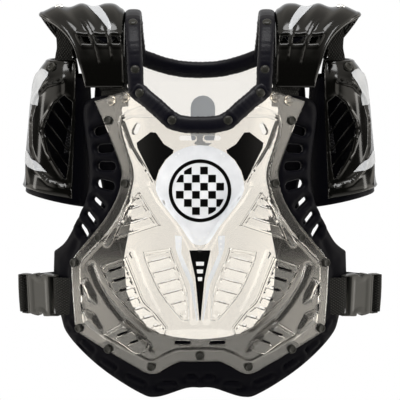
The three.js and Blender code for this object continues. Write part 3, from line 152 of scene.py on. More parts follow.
def catmull(points, step):
    """Points along a smooth curve through points, about step apart."""
    p = np.asarray(points, float)
    if len(p) == 2:
        n = max(1, int(round(np.linalg.norm(p[1] - p[0]) / step)))
        return [p[0] + (p[1] - p[0]) * i / n for i in range(n + 1)]
    out = [p[0]]
    for i in range(len(p) - 1):
        a, b, c, d = p[max(i - 1, 0)], p[i], p[i + 1], p[min(i + 2, len(p) - 1)]
        n = max(1, int(round(np.linalg.norm(c - b) / step)))
        for k in range(1, n + 1):
            t = k / n
            v0, v1 = (c - a) * 0.5, (d - b) * 0.5
            out.append((2 * b - 2 * c + v0 + v1) * t**3 + (-3 * b + 3 * c - 2 * v0 - v1) * t**2 + v0 * t + b)
    return out


def smooth_half(rows, half_width, top, height, step=3.0):
    """The outline of a right half, from rows of (out, down) or (out, down, 1) for a corner."""
    place = [(r[0] * half_width, -top - r[1] * height) for r in rows]
    out, run = [np.array(place[0])], [place[0]]
    for i, row in enumerate(rows[1:], 1):
        run.append(place[i])
        if len(row) > 2 or i == len(rows) - 1:
            out += catmull(run, step)[1:]
            run = [place[i]]
    return np.array(out)


def whole(half):
    other = half[::-1] * (-1, 1)
    return np.array([*half, *[p for p in other if abs(p[0]) > 1e-6]])


def mirror(loop):
    return np.asarray(loop)[::-1] * (-1, 1)


def both(loops):
    return [*loops, *[mirror(loop) for loop in loops]]


def slot(x, z, length, width, turn, ends=5):
    """A slot with round ends."""
    r = width / 2
    arc = [math.radians(-90 + 180 * i / ends) for i in range(ends + 1)]
    right = [(length / 2 - r + r * math.cos(a), r * math.sin(a)) for a in arc]
    shape = right + [(-u, -v) for u, v in right]
    c, s = math.cos(math.radians(turn)), math.sin(math.radians(turn))
    return np.array([(x + u * c - v * s, z + u * s + v * c) for u, v in shape])


def resample(loop, step):
    out = []
    for a, b in zip(loop, np.roll(loop, -1, axis=0)):
        n = max(1, int(math.ceil(np.linalg.norm(b - a) / step)))
        out += [a + (b - a) * i / n for i in range(n)]
    return np.array(out)


def inside(points, loop):
    x, y = points[:, 0], points[:, 1]
    odd = np.zeros(len(points), bool)
    for (ax, ay), (bx, by) in zip(loop, np.roll(loop, -1, axis=0)):
        if ay == by:
            continue
        hit = (ay > y) != (by > y)
        odd ^= hit & (x < (bx - ax) * (y - ay) / (by - ay) + ax)
    return odd


def far(points, line, closed=True):
    """Distance from each point to a line or loop."""
    line = np.asarray(line, float)
    a, b = (line, np.roll(line, -1, axis=0)) if closed else (line[:-1], line[1:])
    best = np.full(len(points), 1e9)
    for p, q in zip(a, b):
        d = q - p
        t = np.clip(((points - p) @ d) / max(d @ d, 1e-12), 0, 1)
        best = np.minimum(best, ((points - p - t[:, None] * d) ** 2).sum(1))
    return np.sqrt(best)


def signed(points, loop):
    """Distance to a loop, positive inside it."""
    return np.where(inside(points, loop), 1, -1) * far(points, loop)


def smoothstep(low, high, value):
    t = np.clip((value - low) / (high - low), 0, 1)
    return t * t * (3 - 2 * t)


# ------------------------------------------------------------------ panels


class Form:
    def __init__(self, facing, depth, crest, bow, swell):
        self.facing, self.depth, self.crest, self.bow, self.swell = facing, depth, crest, bow, swell

    def __call__(self, x, z, sunk):
        """Points of the form at x, z, sunk below its outer face."""
        x, z = np.asarray(x, float), np.asarray(z, float)
        rx = np.sqrt(self.bow**2 - x**2)
        rz = np.sqrt(self.swell**2 - (z - self.crest) ** 2)
        y = self.facing * (self.depth - (self.bow - rx) - (self.swell - rz))
        n = np.stack([x / rx, np.full_like(x, self.facing), (z - self.crest) / rz], 1)
        n /= np.linalg.norm(n, axis=1)[:, None]
        return np.stack([x, y, z], 1) - n * np.asarray(sunk)[..., None]


CHEST = Form(-1, 124, -300, 265, 790)
BACK = Form(1, 112, -200, 250, 700)


def offset(line, by, closed=True):
    """A line moved sideways."""
    line = np.asarray(line, float)
    along = np.roll(line, -1, axis=0) - np.roll(line, 1, axis=0) if closed else np.gradient(line, axis=0)
    side = np.stack([along[:, 1], -along[:, 0]], 1)
    return line + side / np.maximum(np.linalg.norm(side, axis=1), 1e-9)[:, None] * by


def spaced(points, taken, gap):
    """Those of points that are a gap away from the taken points."""
    tree = KDTree(len(taken))
    for i, p in enumerate(taken):
        tree.insert((p[0], p[1], 0), i)
    tree.balance()
    return np.array([p for p in points if tree.find((p[0], p[1], 0))[2] > gap]).reshape(-1, 2)


def triangulate(outline, holes, step, insets, rows=()):
    """A fine triangle mesh of an outline with holes, with rows of points along the edges and rows given."""
    loops = [resample(outline, step)] + [resample(h, min(step, 2.2)) for h in holes]

    def domain(p):
        keep = inside(p, loops[0])
        for hole in loops[1:]:
            box = (np.abs(p - hole.mean(0)) < np.ptp(hole, axis=0).max()).all(1)
            index = np.nonzero(box & keep)[0]
            keep[index[inside(p[index], hole)]] = False
        return keep

    def edge(p):
        e = far(p, loops[0])
        for hole in loops[1:]:
            reach = np.ptp(hole, axis=0).max() / 2 + 40
            index = np.nonzero((np.abs(p - hole.mean(0)) < reach).all(1))[0]
            e[index] = np.minimum(e[index], far(p[index], hole))
        return e

    points = list(np.concatenate(loops))
    for inset in insets:
        for loop in loops:
            along = np.roll(loop, -1, axis=0) - np.roll(loop, 1, axis=0)
            side = np.stack([along[:, 1], -along[:, 0]], 1) / np.linalg.norm(along, axis=1)[:, None]
            for way in (-1, 1):
                row = loop + side * inset * way
                row = row[domain(row)]
                if len(row):
                    points += list(row[edge(row) > inset * 0.93])
    low, high = loops[0].min(0), loops[0].max(0)
    xs = np.arange(low[0], high[0], step)
    zs = np.arange(low[1], high[1], step * 0.87)
    gx, gz = np.meshgrid(xs, zs)
    gx = gx + np.where(np.arange(len(zs)) % 2, step / 2, 0)[:, None]
    grid = np.stack([gx.ravel(), gz.ravel()], 1)
    grid = grid[domain(grid)]
    grid = grid[edge(grid) > (max(insets) if insets else 0) + step * 0.55]
    if len(rows):
        extra = np.concatenate(rows)
        extra = extra[domain(extra)]
        extra = spaced(extra, points, 0.45)
        kept = []
        cells = set()
        for p in extra:
            cell = (round(p[0] / 0.35), round(p[1] / 0.35))
            if cell not in cells:
                cells.add(cell)
                kept.append(p)
        grid = spaced(grid, kept, step * 0.6)
        points += kept
    points = np.array([*points, *grid])
    edges, start = [], 0
    for loop in loops:
        n = len(loop)
        edges += [(start + i, start + (i + 1) % n) for i in range(n)]
        start += n
    verts, _, faces, *_ = delaunay_2d_cdt([Vector(p) for p in points], edges, [], 0, 1e-5)
    verts = np.array([(v.x, v.y) for v in verts])
    faces = np.array([f for f in faces if len(f) == 3])
    faces = faces[domain(verts[faces].mean(1))]
    used, back = np.unique(faces, return_inverse=True)
    return verts[used], back.reshape(-1, 3), edge(verts[used])


def make(name, verts, faces, mat, body="root", sharp=40, uv=None):
    mesh = bpy.data.meshes.new(name)
    mesh.from_pydata([tuple(v) for v in np.asarray(verts) * MM], [], [tuple(int(i) for i in f) for f in faces])
    mesh.materials.append(mat)
    mesh.shade_smooth()
    mesh.set_sharp_from_angle(angle=math.radians(sharp))
    if uv is not None:
        layer = mesh.uv_layers.new(name="UVMap")
        index = np.empty(len(mesh.loops), int)
        mesh.loops.foreach_get("vertex_index", index)
        layer.data.foreach_set("uv", (np.asarray(uv)[index] * MM).ravel())
    obj = bpy.data.objects.new(name, mesh)
    bpy.context.scene.collection.objects.link(obj)
    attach(obj, body)
    return obj


def shell(name, outline, holes, place, faces_of, step, mat, insets=(), sharp=40, rows=()):
    """A closed sheet: faces_of gives the depths of its front and rear at points and their edge distances."""
    flat, tris, e = triangulate(outline, holes, step * FINE, insets, rows)
    front, rear = faces_of(flat, e)
    n = len(flat)
    verts = np.concatenate([place(flat[:, 0], flat[:, 1], front), place(flat[:, 0], flat[:, 1], rear)])
    a = np.concatenate([tris[:, [0, 1]], tris[:, [1, 2]], tris[:, [2, 0]]])
    pairs = {}
    for i, j in a:
        pairs[(min(i, j), max(i, j))] = None if (min(i, j), max(i, j)) in pairs else (i, j)
    rim = np.array([p for p in pairs.values() if p is not None])
    faces = [*tris, *(tris[:, ::-1] + n)]
    faces += [(j, i, i + n, j + n) for i, j in rim]
    # the front must face away from the rear
    t = tris[len(tris) // 2]
    normal = np.cross(verts[t[1]] - verts[t[0]], verts[t[2]] - verts[t[0]])
    if (normal @ (verts[t[0]] - verts[t[0] + n])) < 0:
        faces = [tuple(f)[::-1] for f in faces]
    return make(name, verts, faces, mat, sharp=sharp, uv=np.concatenate([flat, flat]))


def rounded(e, radius):
    """How far a face falls back at an edge with that radius."""
    t = np.clip(radius - e, 0, radius)
    return radius - np.sqrt(radius**2 - t**2)


# ------------------------------------------------------------------ outlines and features

PLATE_ROWS = [
    (0, 0.12), (0.1, 0.12), (0.21, 0.108), (0.32, 0.066), (0.498, 0, 1), (0.814, 0.049, 1), (0.691, 0.174),
    (0.609, 0.276), (0.605, 0.318), (0.628, 0.367), (0.682, 0.42), (0.773, 0.482), (0.973, 0.596), (1, 0.63, 1),
    (1, 0.68, 1), (0.976, 0.842, 1), (0.942, 0.872, 1), (0.525, 0.973), (0.409, 1), (0.331, 0.998),
    (0.231, 0.97), (0.154, 0.953, 1), (0, 0.953),
]
BACK_ROWS = [
    (0, 0.04), (0.22, 0.038), (0.49, 0.012), (0.55, 0.003, 1), (0.66, 0, 1), (0.88, 0.05, 1), (0.82, 0.16),
    (0.76, 0.34), (0.75, 0.46), (0.8, 0.56), (0.97, 0.67), (1, 0.72, 1), (0.98, 0.88, 1), (0.6, 0.97), (0.35, 1),
    (0, 0.985),
]
LINER_OUTER = [
    (0.5, 0, 1), (0.645, 0.006, 1), (0.742, 0.02), (0.79, 0.064), (0.754, 0.203), (0.748, 0.284), (0.771, 0.35),
    (0.823, 0.411), (0.91, 0.491), (0.995, 0.53, 1), (1, 0.6, 1), (0.95, 0.749), (0.888, 0.817), (0.684, 0.907),
    (0.414, 0.987), (0.29, 1), (0.092, 0.967), (0, 0.965),
]
LINER_INNER = [
    (0, 0.8), (0.196, 0.79), (0.34, 0.765), (0.44, 0.71), (0.5, 0.645, 1), (0.512, 0.56), (0.54, 0.5), (0.565, 0.447),
    (0.51, 0.365), (0.454, 0.29), (0.452, 0.24), (0.502, 0.165), (0.55, 0.079),
]
BACK_LINER_OUTER = [
    (0.56, 0, 1), (0.74, 0.01, 1), (0.86, 0.045), (0.89, 0.12), (0.885, 0.25), (0.87, 0.33), (0.83, 0.4),
    (0.84, 0.455), (0.9, 0.51), (0.98, 0.58, 1), (1, 0.76, 1), (0.9, 0.86), (0.64, 0.96), (0.36, 1), (0, 0.985),
]
BACK_LINER_INNER = [
    (0, 0.9), (0.4, 0.89), (0.62, 0.82, 1), (0.66, 0.66), (0.59, 0.5), (0.58, 0.4), (0.62, 0.26), (0.68, 0.13),
]
WINDOWS = [
    (131.5, -141.7, -20), (126.5, -165.4, -6), (124.8, -188.2, 0), (126, -212.7, 12), (134.9, -237.2, 40),
    (145.5, -258, 50), (155, -275.3, 57),
]
plate_half = smooth_half(PLATE_ROWS, 170, 87, 373)
back_half = smooth_half(BACK_ROWS, 142, 56, 406)
plate_loop, back_loop = whole(plate_half), whole(back_half)


def liner_loop(outer_rows, inner_rows, width, top, height):
    outer = smooth_half(outer_rows, width, top, height)
    inner = smooth_half(inner_rows, width, top, height)
    left_out = [p for p in outer[::-1] * (-1, 1) if abs(p[0]) > 1e-6]
    left_in = [p for p in inner[::-1] * (-1, 1) if abs(p[0]) > 1e-6]
    return np.array([*outer, *left_out, *left_in, *inner])


liner = liner_loop(LINER_OUTER, LINER_INNER, 199, 94, 401)
back_liner = liner_loop(BACK_LINER_OUTER, BACK_LINER_INNER, 165, 62, 426)

# Louvred vents of the right half: inner side, outer side, louvre count, tilt
VENTS = [
    ([(37.5, -292), (33, -306), (27, -320), (21, -336), (16, -353), (13.5, -372), (14, -386)],
     [(22, -388), (36, -372), (52, -350), (62, -330), (70, -311), (73, -298)], 6, -16),
    ([(95, -305), (89, -320), (81, -340), (72, -362), (58.5, -375), (42, -396)],
     [(45, -407), (55, -405), (74, -392), (92, -375.5), (110.5, -355), (123, -333.5), (129, -319)], 7, -20),
    ([(99, -391), (82, -402), (64, -417)], [(69, -429), (82.5, -433), (102, -421), (125, -409)], 2, -24),
    ([(78.5, -220), (64, -243), (51, -263)], [(113, -285), (99, -254), (89, -232)], 2, -20),
]
PANEL = [(88, -123), (100, -128), (87, -162.5), (61.5, -204), (53, -223), (27, -254), (8, -288), (0, -297)]
FIELD = [
    (0, -120), (35, -118), (58, -112), (76, -110), (92, -115), (103, -122), (107.5, -133), (105, -150), (96.5, -175),
    (91.5, -190), (90.5, -205), (95, -226), (105, -250), (120, -273), (139, -294), (156, -313), (158.5, -322),
    (158.5, -338), (155, -388), (153.5, -398), (124, -418), (86, -437), (69, -446), (58, -446), (42, -436),
    (28, -430), (0, -429),
]
FACETS = [
    ([(146, -366), (150, -355), (156, -342), (147, -338), (136, -358), (133, -371)], 4.0),
    ([(136, -384), (152, -379), (151, -396), (128, -411), (127, -402)], 3.5),
]
RIDGES = [
    ([(140, -320), (133, -341), (118, -366), (100, -388), (80, -404), (62, -424)], -2.6, 3.0),
    ([(84, -232), (104, -262), (121, -288)], 2.6, 3.0),
    ([(63, -212), (54, -228), (29, -259), (11, -292), (9, -330), (8, -385)], 1.6, 3.2),
    ([(87, -300), (74, -337), (62, -362), (55, -374)], -1.8, 2.0),
]


WHOLE_FIELD = np.array([*FIELD, *[(-x, z) for x, z in FIELD[::-1] if x > 0]], float)
WHOLE_PANEL = np.array([*PANEL, *[(-x, z) for x, z in PANEL[::-1] if x > 0]], float)


def crossing(loop, through, tilt):
    along = np.array([math.cos(math.radians(tilt)), math.sin(math.radians(tilt))])
    cuts = []
    for p, q in zip(loop, np.roll(loop, -1, axis=0)):
        a = (p[0] - through[0]) * along[1] - (p[1] - through[1]) * along[0]
        b = (q[0] - through[0]) * along[1] - (q[1] - through[1]) * along[0]
        if a * b < 0:
            cuts.append((p + (q - p) * a / (a - b) - through) @ along)
    return min(cuts), max(cuts), along


vents = []
for inner, outer, count, tilt in VENTS:
    loop = np.array(catmull(inner, 4) + catmull(outer, 4))
    a, b = (np.array(inner[0]) + outer[-1]) / 2, (np.array(inner[-1]) + outer[0]) / 2
    slits = []
    for i in range(count):
        middle = a + (b - a) * (i + 0.8) / (count + 0.6)
        low, high, along = crossing(loop, middle, tilt)
        low, high = low + 7, high - 7
        if high - low > 6:
            centre = middle + along * (low + high) / 2
            slits.append((centre, high - low))
    vents.append((loop, slits, tilt, a, b, count))
slit_loops = []
for (loop, slits, tilt, *_), width in zip(vents, (1.3, 2.6, 2.6, 1.3)):
    for centre, length in slits:
        up = np.array([-math.sin(math.radians(tilt)), math.cos(math.radians(tilt))])
        at = centre + up * (width / 2 + 0.25)
        slit_loops.append(slot(*at, length - 3, width, tilt, 3))
PLATE_SLOTS = [
    slot(16.2, -149.7, 22, 6.5, 0), slot(82, -139, 15, 6, 112), slot(22.5, -416, 21, 5.4, 0),
    slot(154.9, -353, 15, 4.6, 90), slot(155, -378, 14, 4.6, 90),
]
WALL_OUT, WALL_IN = -0.5, 1.3  # where the wall of a raised area starts and ends, from its outline
LIP = 3.4  # from a vent's outline in to its louvres
LOUVRE_END = 1.0  # width of the wall at a louvre's end
STEP = 0.5  # width of a louvre's steep side


def ramp_up(d, low=WALL_OUT, high=WALL_IN):
    return smoothstep(low, high, d)


def vent_phase(q, vent):
    """How far down its louvre each point is, from 0 at a louvre's top to 1 at the next."""
    loop, slits, tilt, a, b, count = vent
    up = np.array([-math.sin(math.radians(tilt)), math.cos(math.radians(tilt))])
    pitch = abs((b - a) @ up) / (count + 0.6)
    along = ((a - q) @ up) / pitch - 0.8
    return along, pitch


def relief(p):
    """How far the chest plate's outer face stands proud of its form, at points in x and z."""
    q = np.abs(p) * (1, 0) + p * (0, 1)
    field = signed(q, WHOLE_FIELD)
    high = 3.0 * ramp_up(field) + 0.9 * np.exp(-(((field - 3.4) / 1.5) ** 2))
    panel = signed(q, WHOLE_PANEL)
    high -= 2.4 * ramp_up(panel) - 0.5 * np.exp(-(((panel + 2.2) / 1.3) ** 2))
    for line, height, width in RIDGES:
        high += height * np.exp(-((far(q, line, False) / width) ** 2))
    for loop, height in FACETS:
        d = signed(q, np.array(loop, float))
        high += height * smoothstep(-0.6, 6.5, d) + 0.5 * ramp_up(d)
    for vent in vents:
        depth = signed(q, vent[0])
        along, pitch = vent_phase(q, vent)
        phase = along - np.floor(along)
        louvre = 2.9 * (1 - phase) ** 1.15 * np.clip(phase * pitch / STEP, 0, 1)
        louvre *= smoothstep(LIP, LIP + LOUVRE_END, depth) * (along > -0.8)
        bead = 0.6 * np.exp(-(((depth - 2.0) / 0.9) ** 2))
        high += 2.6 * ramp_up(depth) + bead + louvre
    return np.clip(high, -3, 10.5)


def relief_rows():
    """Rows of points along the walls and louvre steps of the relief, on both halves."""
    out = []
    loops = [WHOLE_FIELD, WHOLE_PANEL] + [np.array(loop, float) for loop, _ in FACETS]
    for loop in loops + [vent[0] for vent in vents]:
        fine = resample(loop, 1.5 * FINE)
        ways = (WALL_OUT, WALL_IN, 3.4) if any(loop is v[0] for v in vents) else (WALL_OUT, WALL_IN)
        if any(loop is v[0] for v in vents):
            ways = (WALL_OUT, WALL_IN, LIP, LIP + LOUVRE_END)
        for d in ways:
            for way in (-1, 1):
                row = offset(fine, d * way)
                row = row[np.abs(signed(row, loop) - d) < 0.2]
                out.append(row)
    for vent in vents:
        loop, slits, tilt, a, b, count = vent
        along = np.array([math.cos(math.radians(tilt)), math.sin(math.radians(tilt))])
        up = np.array([-along[1], along[0]])
        for centre, length in slits:
            n = int(length / (1.3 * FINE))
            line = centre + np.linspace(-length / 2 - 2, length / 2 + 2, n)[:, None] * along
            for d in (0.02, -STEP, -STEP - 1.2):
                row = line + up * d
                out.append(row[signed(row, loop) > LIP])
    right = np.concatenate([row for row in out if len(row)])
    right = right[right[:, 0] > 0]
    return [right, right * (-1, 1)]


def clear_plate(p, e):
    high = relief(p)
    return -high + 0.25 * rounded(e, 1.0), -high + 2.3 - 0.25 * rounded(e, 1.0)


plate_step = 2.0
plate_holes = both(slit_loops) + both(PLATE_SLOTS)
plate = shell("clear_chest_plate", plate_loop, plate_holes, CHEST, clear_plate, plate_step, CLEAR, (1.0,), 50,
              relief_rows())
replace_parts(plate, "front_plate")


def plain_plate(p, e):
    bead = 1.2 * np.exp(-(((e - 9) / 2.5) ** 2))
    return -bead + 0.2 * rounded(e, 1.0), 2.4 - bead - 0.2 * rounded(e, 1.0)


rear = shell("clear_back_plate", back_loop, [], BACK, plain_plate, 4.5, CLEAR, (1.0, 5.0, 9.0, 13.0), 50)
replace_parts(rear, "back_plate")

# ------------------------------------------------------------------ foam liners

CELLS = [(12, -467, 0, 20), (44, -477, -6, 30), (86, -472.5, 22, 34), (123, -453, 30, 28), (152, -431, 38, 26),
         (172, -404, 58, 22)]


def foam(p, e, lie, thick, windows=()):
    """Depths of a foam sheet with full edges and a stitched line along them; windows is not used."""
    bulge = 1.6 * np.exp(-(((e - 9) / 6) ** 2))
    seam = 0.9 * np.exp(-(((e - 4.2) / 1.0) ** 2))
    front = lie + rounded(e, 4.2) + seam - bulge
    back = lie + thick - rounded(e, 4.2) - seam + bulge * 0.4
    return front, back


def chest_foam(p, e):
    under = signed(p, plate_loop)
    front, rear_face = foam(p, e, 3.0, 9.8)
    q = np.abs(p) * (1, 0) + p * (0, 1)
    for x, z, turn, length in CELLS:
        cell = slot(x, z, length, 11, turn)
        d = signed(q, cell)
        front += 2.4 * smoothstep(-2.2, 0.5, d) - 2.2 * smoothstep(1.0, 3.6, d)
    for x, z, turn in WINDOWS:
        d = -signed(q, slot(x, z, 24, 12, turn))
        lip = (d > -0.5) & (d < 9)
        front += np.where(lip, -1.3 * np.exp(-(((d - 4.2) / 1.6) ** 2)), 0)
    crease = far(q, [(150, -270), (166, -296), (178, -330), (180, -372)], False)
    front += 1.5 * np.exp(-((crease / 3.0) ** 2)) * (under < -2)
    # the plate presses on what lies below it
    front = np.maximum(front, np.where(under > -3, 2.7, -3.0))
    return front, rear_face


window_holes = both([slot(x, z, *((20, 6) if turn > 20 else (25, 11.5)), turn) for x, z, turn in WINDOWS])
pad = shell("chest_foam", liner, window_holes, CHEST, chest_foam, 3.0, FOAM, (0.6, 1.8, 3.4, 5.2), 60)
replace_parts(pad, "front_liner")

pad = shell("back_foam", back_liner, [], BACK, lambda p, e: foam(p, e, 3.0, 9.8), 5.0, FOAM, (0.8, 2.0, 3.6, 5.6), 60)
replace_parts(pad, "back_liner")

# ------------------------------------------------------------------ graphics


def film(name, outline, holes, mat, lift=0.35, step=2.6, form=CHEST, on=relief):
    def faces(p, e):
        high = on(p) if on else np.zeros(len(p))
        return -high - lift - 0.12, -high - lift + 0.05

    obj = shell(name, np.asarray(outline, float), holes, form, faces, step, mat, (), 50)
    return obj


def circle(x, z, r, n=40, start=0.0, end=360.0):
    return [(x + r * math.cos(math.radians(start + (end - start) * i / n)),
             z + r * math.sin(math.radians(start + (end - start) * i / n))) for i in range(n + (end - start < 360))]


disc_side = [(33.5, -169), (44, -179), (52, -192), (56.5, -208), (55.5, -219), (49, -232), (38, -247), (25, -263),
             (14, -280), (8, -286), (0, -288)]
disc_top = [(0, -159), (12, -160), (24, -164), (33.5, -169)]
disc_half = np.array(disc_top[:-1] + [tuple(p) for p in catmull(disc_side, 3)], float)
disc = film("decal_disc", whole(disc_half), [], SILVER)
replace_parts(disc, "chest_decal")
wing = [(82, -157), (64, -143), (57, -143.5), (46.5, -158), (34, -165.5), (35, -169.5), (45, -178.5), (53.2, -192),
        (57.5, -206), (61, -203), (72, -181), (81, -163.5)]
film("decal_wing_right", wing, [], BLACK)
film("decal_wing_left", mirror(wing), [], BLACK)
film("decal_tail", [(-13.6, -294), (13.6, -294), (6, -330), (0.8, -386), (-0.8, -386), (-6, -330)], [], BLACK)
strip = [(32, -275), (23, -276), (24, -298), (18, -312), (9, -333), (2.6, -386), (4.4, -386), (13, -338), (24, -313),
         (31, -292)]
film("decal_strip_right", strip, [], SILVER)
film("decal_strip_left", mirror(strip), [], SILVER)

MOTIF = (0.0, -217.5, 40.4)
film("motif_ring", circle(*MOTIF, 72), [np.array(circle(MOTIF[0], MOTIF[1], MOTIF[2] - 4.6, 72))], BLACK, 0.62, 1.6)
CHECK = 10.4  # side of the chequered motif's squares
inner_circle = np.array(circle(MOTIF[0], MOTIF[1], MOTIF[2] - 8, 72))


def clip_square(x, z, side, radius, centre):
    """The part of a square inside a circle, as a loop."""
    pts = []
    n = 10
    corners = [(x, z), (x + side, z), (x + side, z + side), (x, z + side)]
    for (ax, az), (bx, bz) in zip(corners, corners[1:] + corners[:1]):
        for i in range(n):
            pts.append((ax + (bx - ax) * i / n, az + (bz - az) * i / n))
    pts = np.array(pts) - centre
    r = np.linalg.norm(pts, axis=1)
    if (r >= radius).all():
        return None
    scale = np.where(r > radius, radius / np.maximum(r, 1e-9), 1)
    return pts * scale[:, None] + centre


def chequers():
    """Squares of a chequered disc, each inside the circle."""
    out = []
    for i in range(-4, 4):
        for j in range(-4, 4):
            if (i + j) % 2:
                continue
            x, z = i * CHECK + 0.25, MOTIF[1] + j * CHECK + 0.25
            cx, cz = x + CHECK / 2, z + CHECK / 2 - MOTIF[1]
            if math.hypot(cx, cz) < MOTIF[2] - 8 + 1.5:
                loop = clip_square(x, z, CHECK - 0.5, MOTIF[2] - 8, np.array(MOTIF[:2]))
                if loop is not None:
                    out.append(loop)
    return out


for k, loop in enumerate(chequers()):
    keep = [loop[0]]
    for p in loop[1:]:
        if np.linalg.norm(p - keep[-1]) > 0.3:
            keep.append(p)
    if np.linalg.norm(keep[0] - keep[-1]) < 0.3:
        keep.pop()
    if len(keep) > 3:
        film("motif_check_%02d" % k, keep, [], BLACK, 0.62, 3.0)

DOTS = [(26.5, -279, 2.0), (26.5, -286, 1.6), (26.8, -292.5, 1.4), (0, -281.5, 1.9), (5.4, -277.6, 1.3),
        (10.5, -272, 1.0), (27.5, -170, 1.1), (31, -173.5, 0.9)]
for k, (x, z, r) in enumerate(DOTS):
    for side in ((1, -1) if x else (1,)):
        film("dot_%d_%s" % (k, "rl"[side < 0]), circle(x * side, z, r, 12), [], WHITE, 0.62, 2.0)
for k, z in enumerate((-309, -319, -329)):
    w = 5.2 - k * 1.1
    film("tail_bar_%d" % k, [(-w, z), (w, z), (w - 0.6, z - 5), (-w + 0.6, z - 5)], [], WHITE, 0.62, 2.6)

label_loop = slot(4, -144, 72, 34, 90, 8)
tag = shell("back_label_cloth", label_loop, [], BACK, lambda p, e: (np.full(len(p), 3.2), np.full(len(p), 2.6)), 4, LABEL,
            (), 50)
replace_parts(tag, "back_label")

# ------------------------------------------------------------------ sweeps


def frames(path, side_hint):
    """Unit directions along a path, sideways and outwards at each point."""
    along = np.gradient(path, axis=0)
    along /= np.linalg.norm(along, axis=1)[:, None]
    side = side_hint - along * (side_hint * along).sum(1)[:, None]
    side /= np.linalg.norm(side, axis=1)[:, None]
    return along, side, np.cross(along, side)


def sweep(name, path, side_hint, section, mat, scale=None, caps=True, sharp=50):
    """A closed body along a path. section is points (sideways, outwards); scale is a pair for each path point."""
    path, side_hint = np.asarray(path, float), np.asarray(side_hint, float)
    if side_hint.ndim == 1:
        side_hint = np.tile(side_hint, (len(path), 1))
    _, side, out = frames(path, side_hint)
    section = np.asarray(section, float)
    scale = np.ones((len(path), 2)) if scale is None else np.asarray(scale)
    m, n = len(section), len(path)
    verts = (path[:, None] + side[:, None] * (section[None, :, 0] * scale[:, :1])[..., None]
             + out[:, None] * (section[None, :, 1] * scale[:, 1:])[..., None]).reshape(-1, 3)
    faces = []
    for i in range(n - 1):
        for j in range(m):
            k = (j + 1) % m
            faces.append((i * m + j, i * m + k, (i + 1) * m + k, (i + 1) * m + j))
    faces += [tuple(range(m))[::-1], tuple((n - 1) * m + j for j in range(m))]
    length = np.concatenate([[0], np.cumsum(np.linalg.norm(np.diff(path, axis=0), axis=1))])
    uv = np.stack([np.tile(section[:, 0], n), np.repeat(length, m)], 1)
    v = np.array(verts)
    volume = sum(np.dot(v[f[0]], np.cross(v[f[1]], v[f[2]])) + (np.dot(v[f[0]], np.cross(v[f[2]], v[f[3]])) if len(f) == 4 else 0)
                 for f in faces if len(f) <= 4)
    if volume < 0:
        faces = [tuple(f)[::-1] for f in faces]
    return make(name, verts, faces, mat, sharp=sharp, uv=uv)


def superellipse(width, thick, power=2.6, n=28):
    out = []
    for i in range(n):
        a = 2 * math.pi * i / n
        c, s = math.cos(a), math.sin(a)
        out.append((math.copysign(abs(c) ** (2 / power), c) * width / 2, math.copysign(abs(s) ** (2 / power), s) * thick / 2))
    return out


def band(width, thick):
    """The section of flat webbing, with points across for its curve."""
    w, t, r = width / 2, thick / 2, thick * 0.35
    top = [(-w + r + (2 * w - 2 * r) * i / 10, t) for i in range(11)]
    return top + [(w, t - r), (w, -t + r)] + [(x, -t) for x, _ in top[::-1]] + [(-w, -t + r), (-w, t - r)]


def spline(points, step=2.0):
    return np.array(catmull([np.array(p, float) for p in points], step * FINE))


def pad_scale(path, creases, depth=0.16, width=5.0, end_round=7.0):
    """Width and thickness along a padded tube: pinched at its snaps, full between, closing at the ends."""
    length = np.concatenate([[0], np.cumsum(np.linalg.norm(np.diff(path, axis=0), axis=1))])
    total = length[-1]
    wide, thick = np.ones(len(path)), np.ones(len(path))
    for at in creases:
        d = np.min(np.linalg.norm(path - np.asarray(at), axis=1))
        k = np.argmin(np.linalg.norm(path - np.asarray(at), axis=1))
        dip = np.exp(-(((length - length[k]) / width) ** 2))
        thick -= depth * 2.0 * dip
        wide += depth * 0.35 * dip
    for at in (0, total):
        t = np.clip(1 - np.abs(length - at) / end_round, 0, 1)
        close = np.sqrt(np.clip(1 - t**2, 0.02, 1))
        thick *= close
        wide *= 0.55 + 0.45 * close
    wobble = 0.018 * np.sin(length * 0.9 + 1.3) + 0.012 * np.sin(length * 2.3)
    return np.stack([wide + wobble, thick + wobble * 1.5], 1)


def dome(name, at, axis, radius, height, mat=STUD, rim=0.0):
    """A rivet or snap head."""
    axis = np.asarray(axis, float) / np.linalg.norm(axis)
    side = np.cross(axis, (0, 0, 1) if abs(axis[2]) < 0.9 else (1, 0, 0))
    side /= np.linalg.norm(side)
    other = np.cross(axis, side)
    profile = [(0, 1.0), (0.35, 0.98), (0.6, 0.9), (0.8, 0.74), (0.93, 0.5), (1.0, 0.2), (1.0, -0.4)]
    if rim:
        profile = [(0, 0.62), (0.45, 0.6), (0.58, 0.66), (0.68, 0.95), (0.8, 1.0), (0.92, 0.85), (1.0, 0.4), (1.0, -0.4)]
    n = 28
    verts = [np.asarray(at) + axis * height * profile[0][1]]
    for r, h in profile[1:]:
        for i in range(n):
            a = 2 * math.pi * i / n
            verts.append(np.asarray(at) + axis * height * h + (side * math.cos(a) + other * math.sin(a)) * radius * r)
    faces = [(0, 1 + i, 1 + (i + 1) % n) for i in range(n)]
    for k in range(len(profile) - 2):
        for i in range(n):
            j = (i + 1) % n
            faces.append((1 + k * n + i, 1 + (k + 1) * n + i, 1 + (k + 1) * n + j, 1 + k * n + j))
    faces.append(tuple(1 + (len(profile) - 2) * n + i for i in range(n))[::-1])
    obj = make(name, verts, faces, mat, sharp=60)
    return obj


def normal_of(form, x, z):
    a = form(np.array([x]), np.array([z]), np.array([0.0]))[0]
    b = form(np.array([x]), np.array([z]), np.array([1.0]))[0]
    return a, a - b


# ------------------------------------------------------------------ neck rolls and straps

SNAPS = [(77, -94), (35.5, -128)]


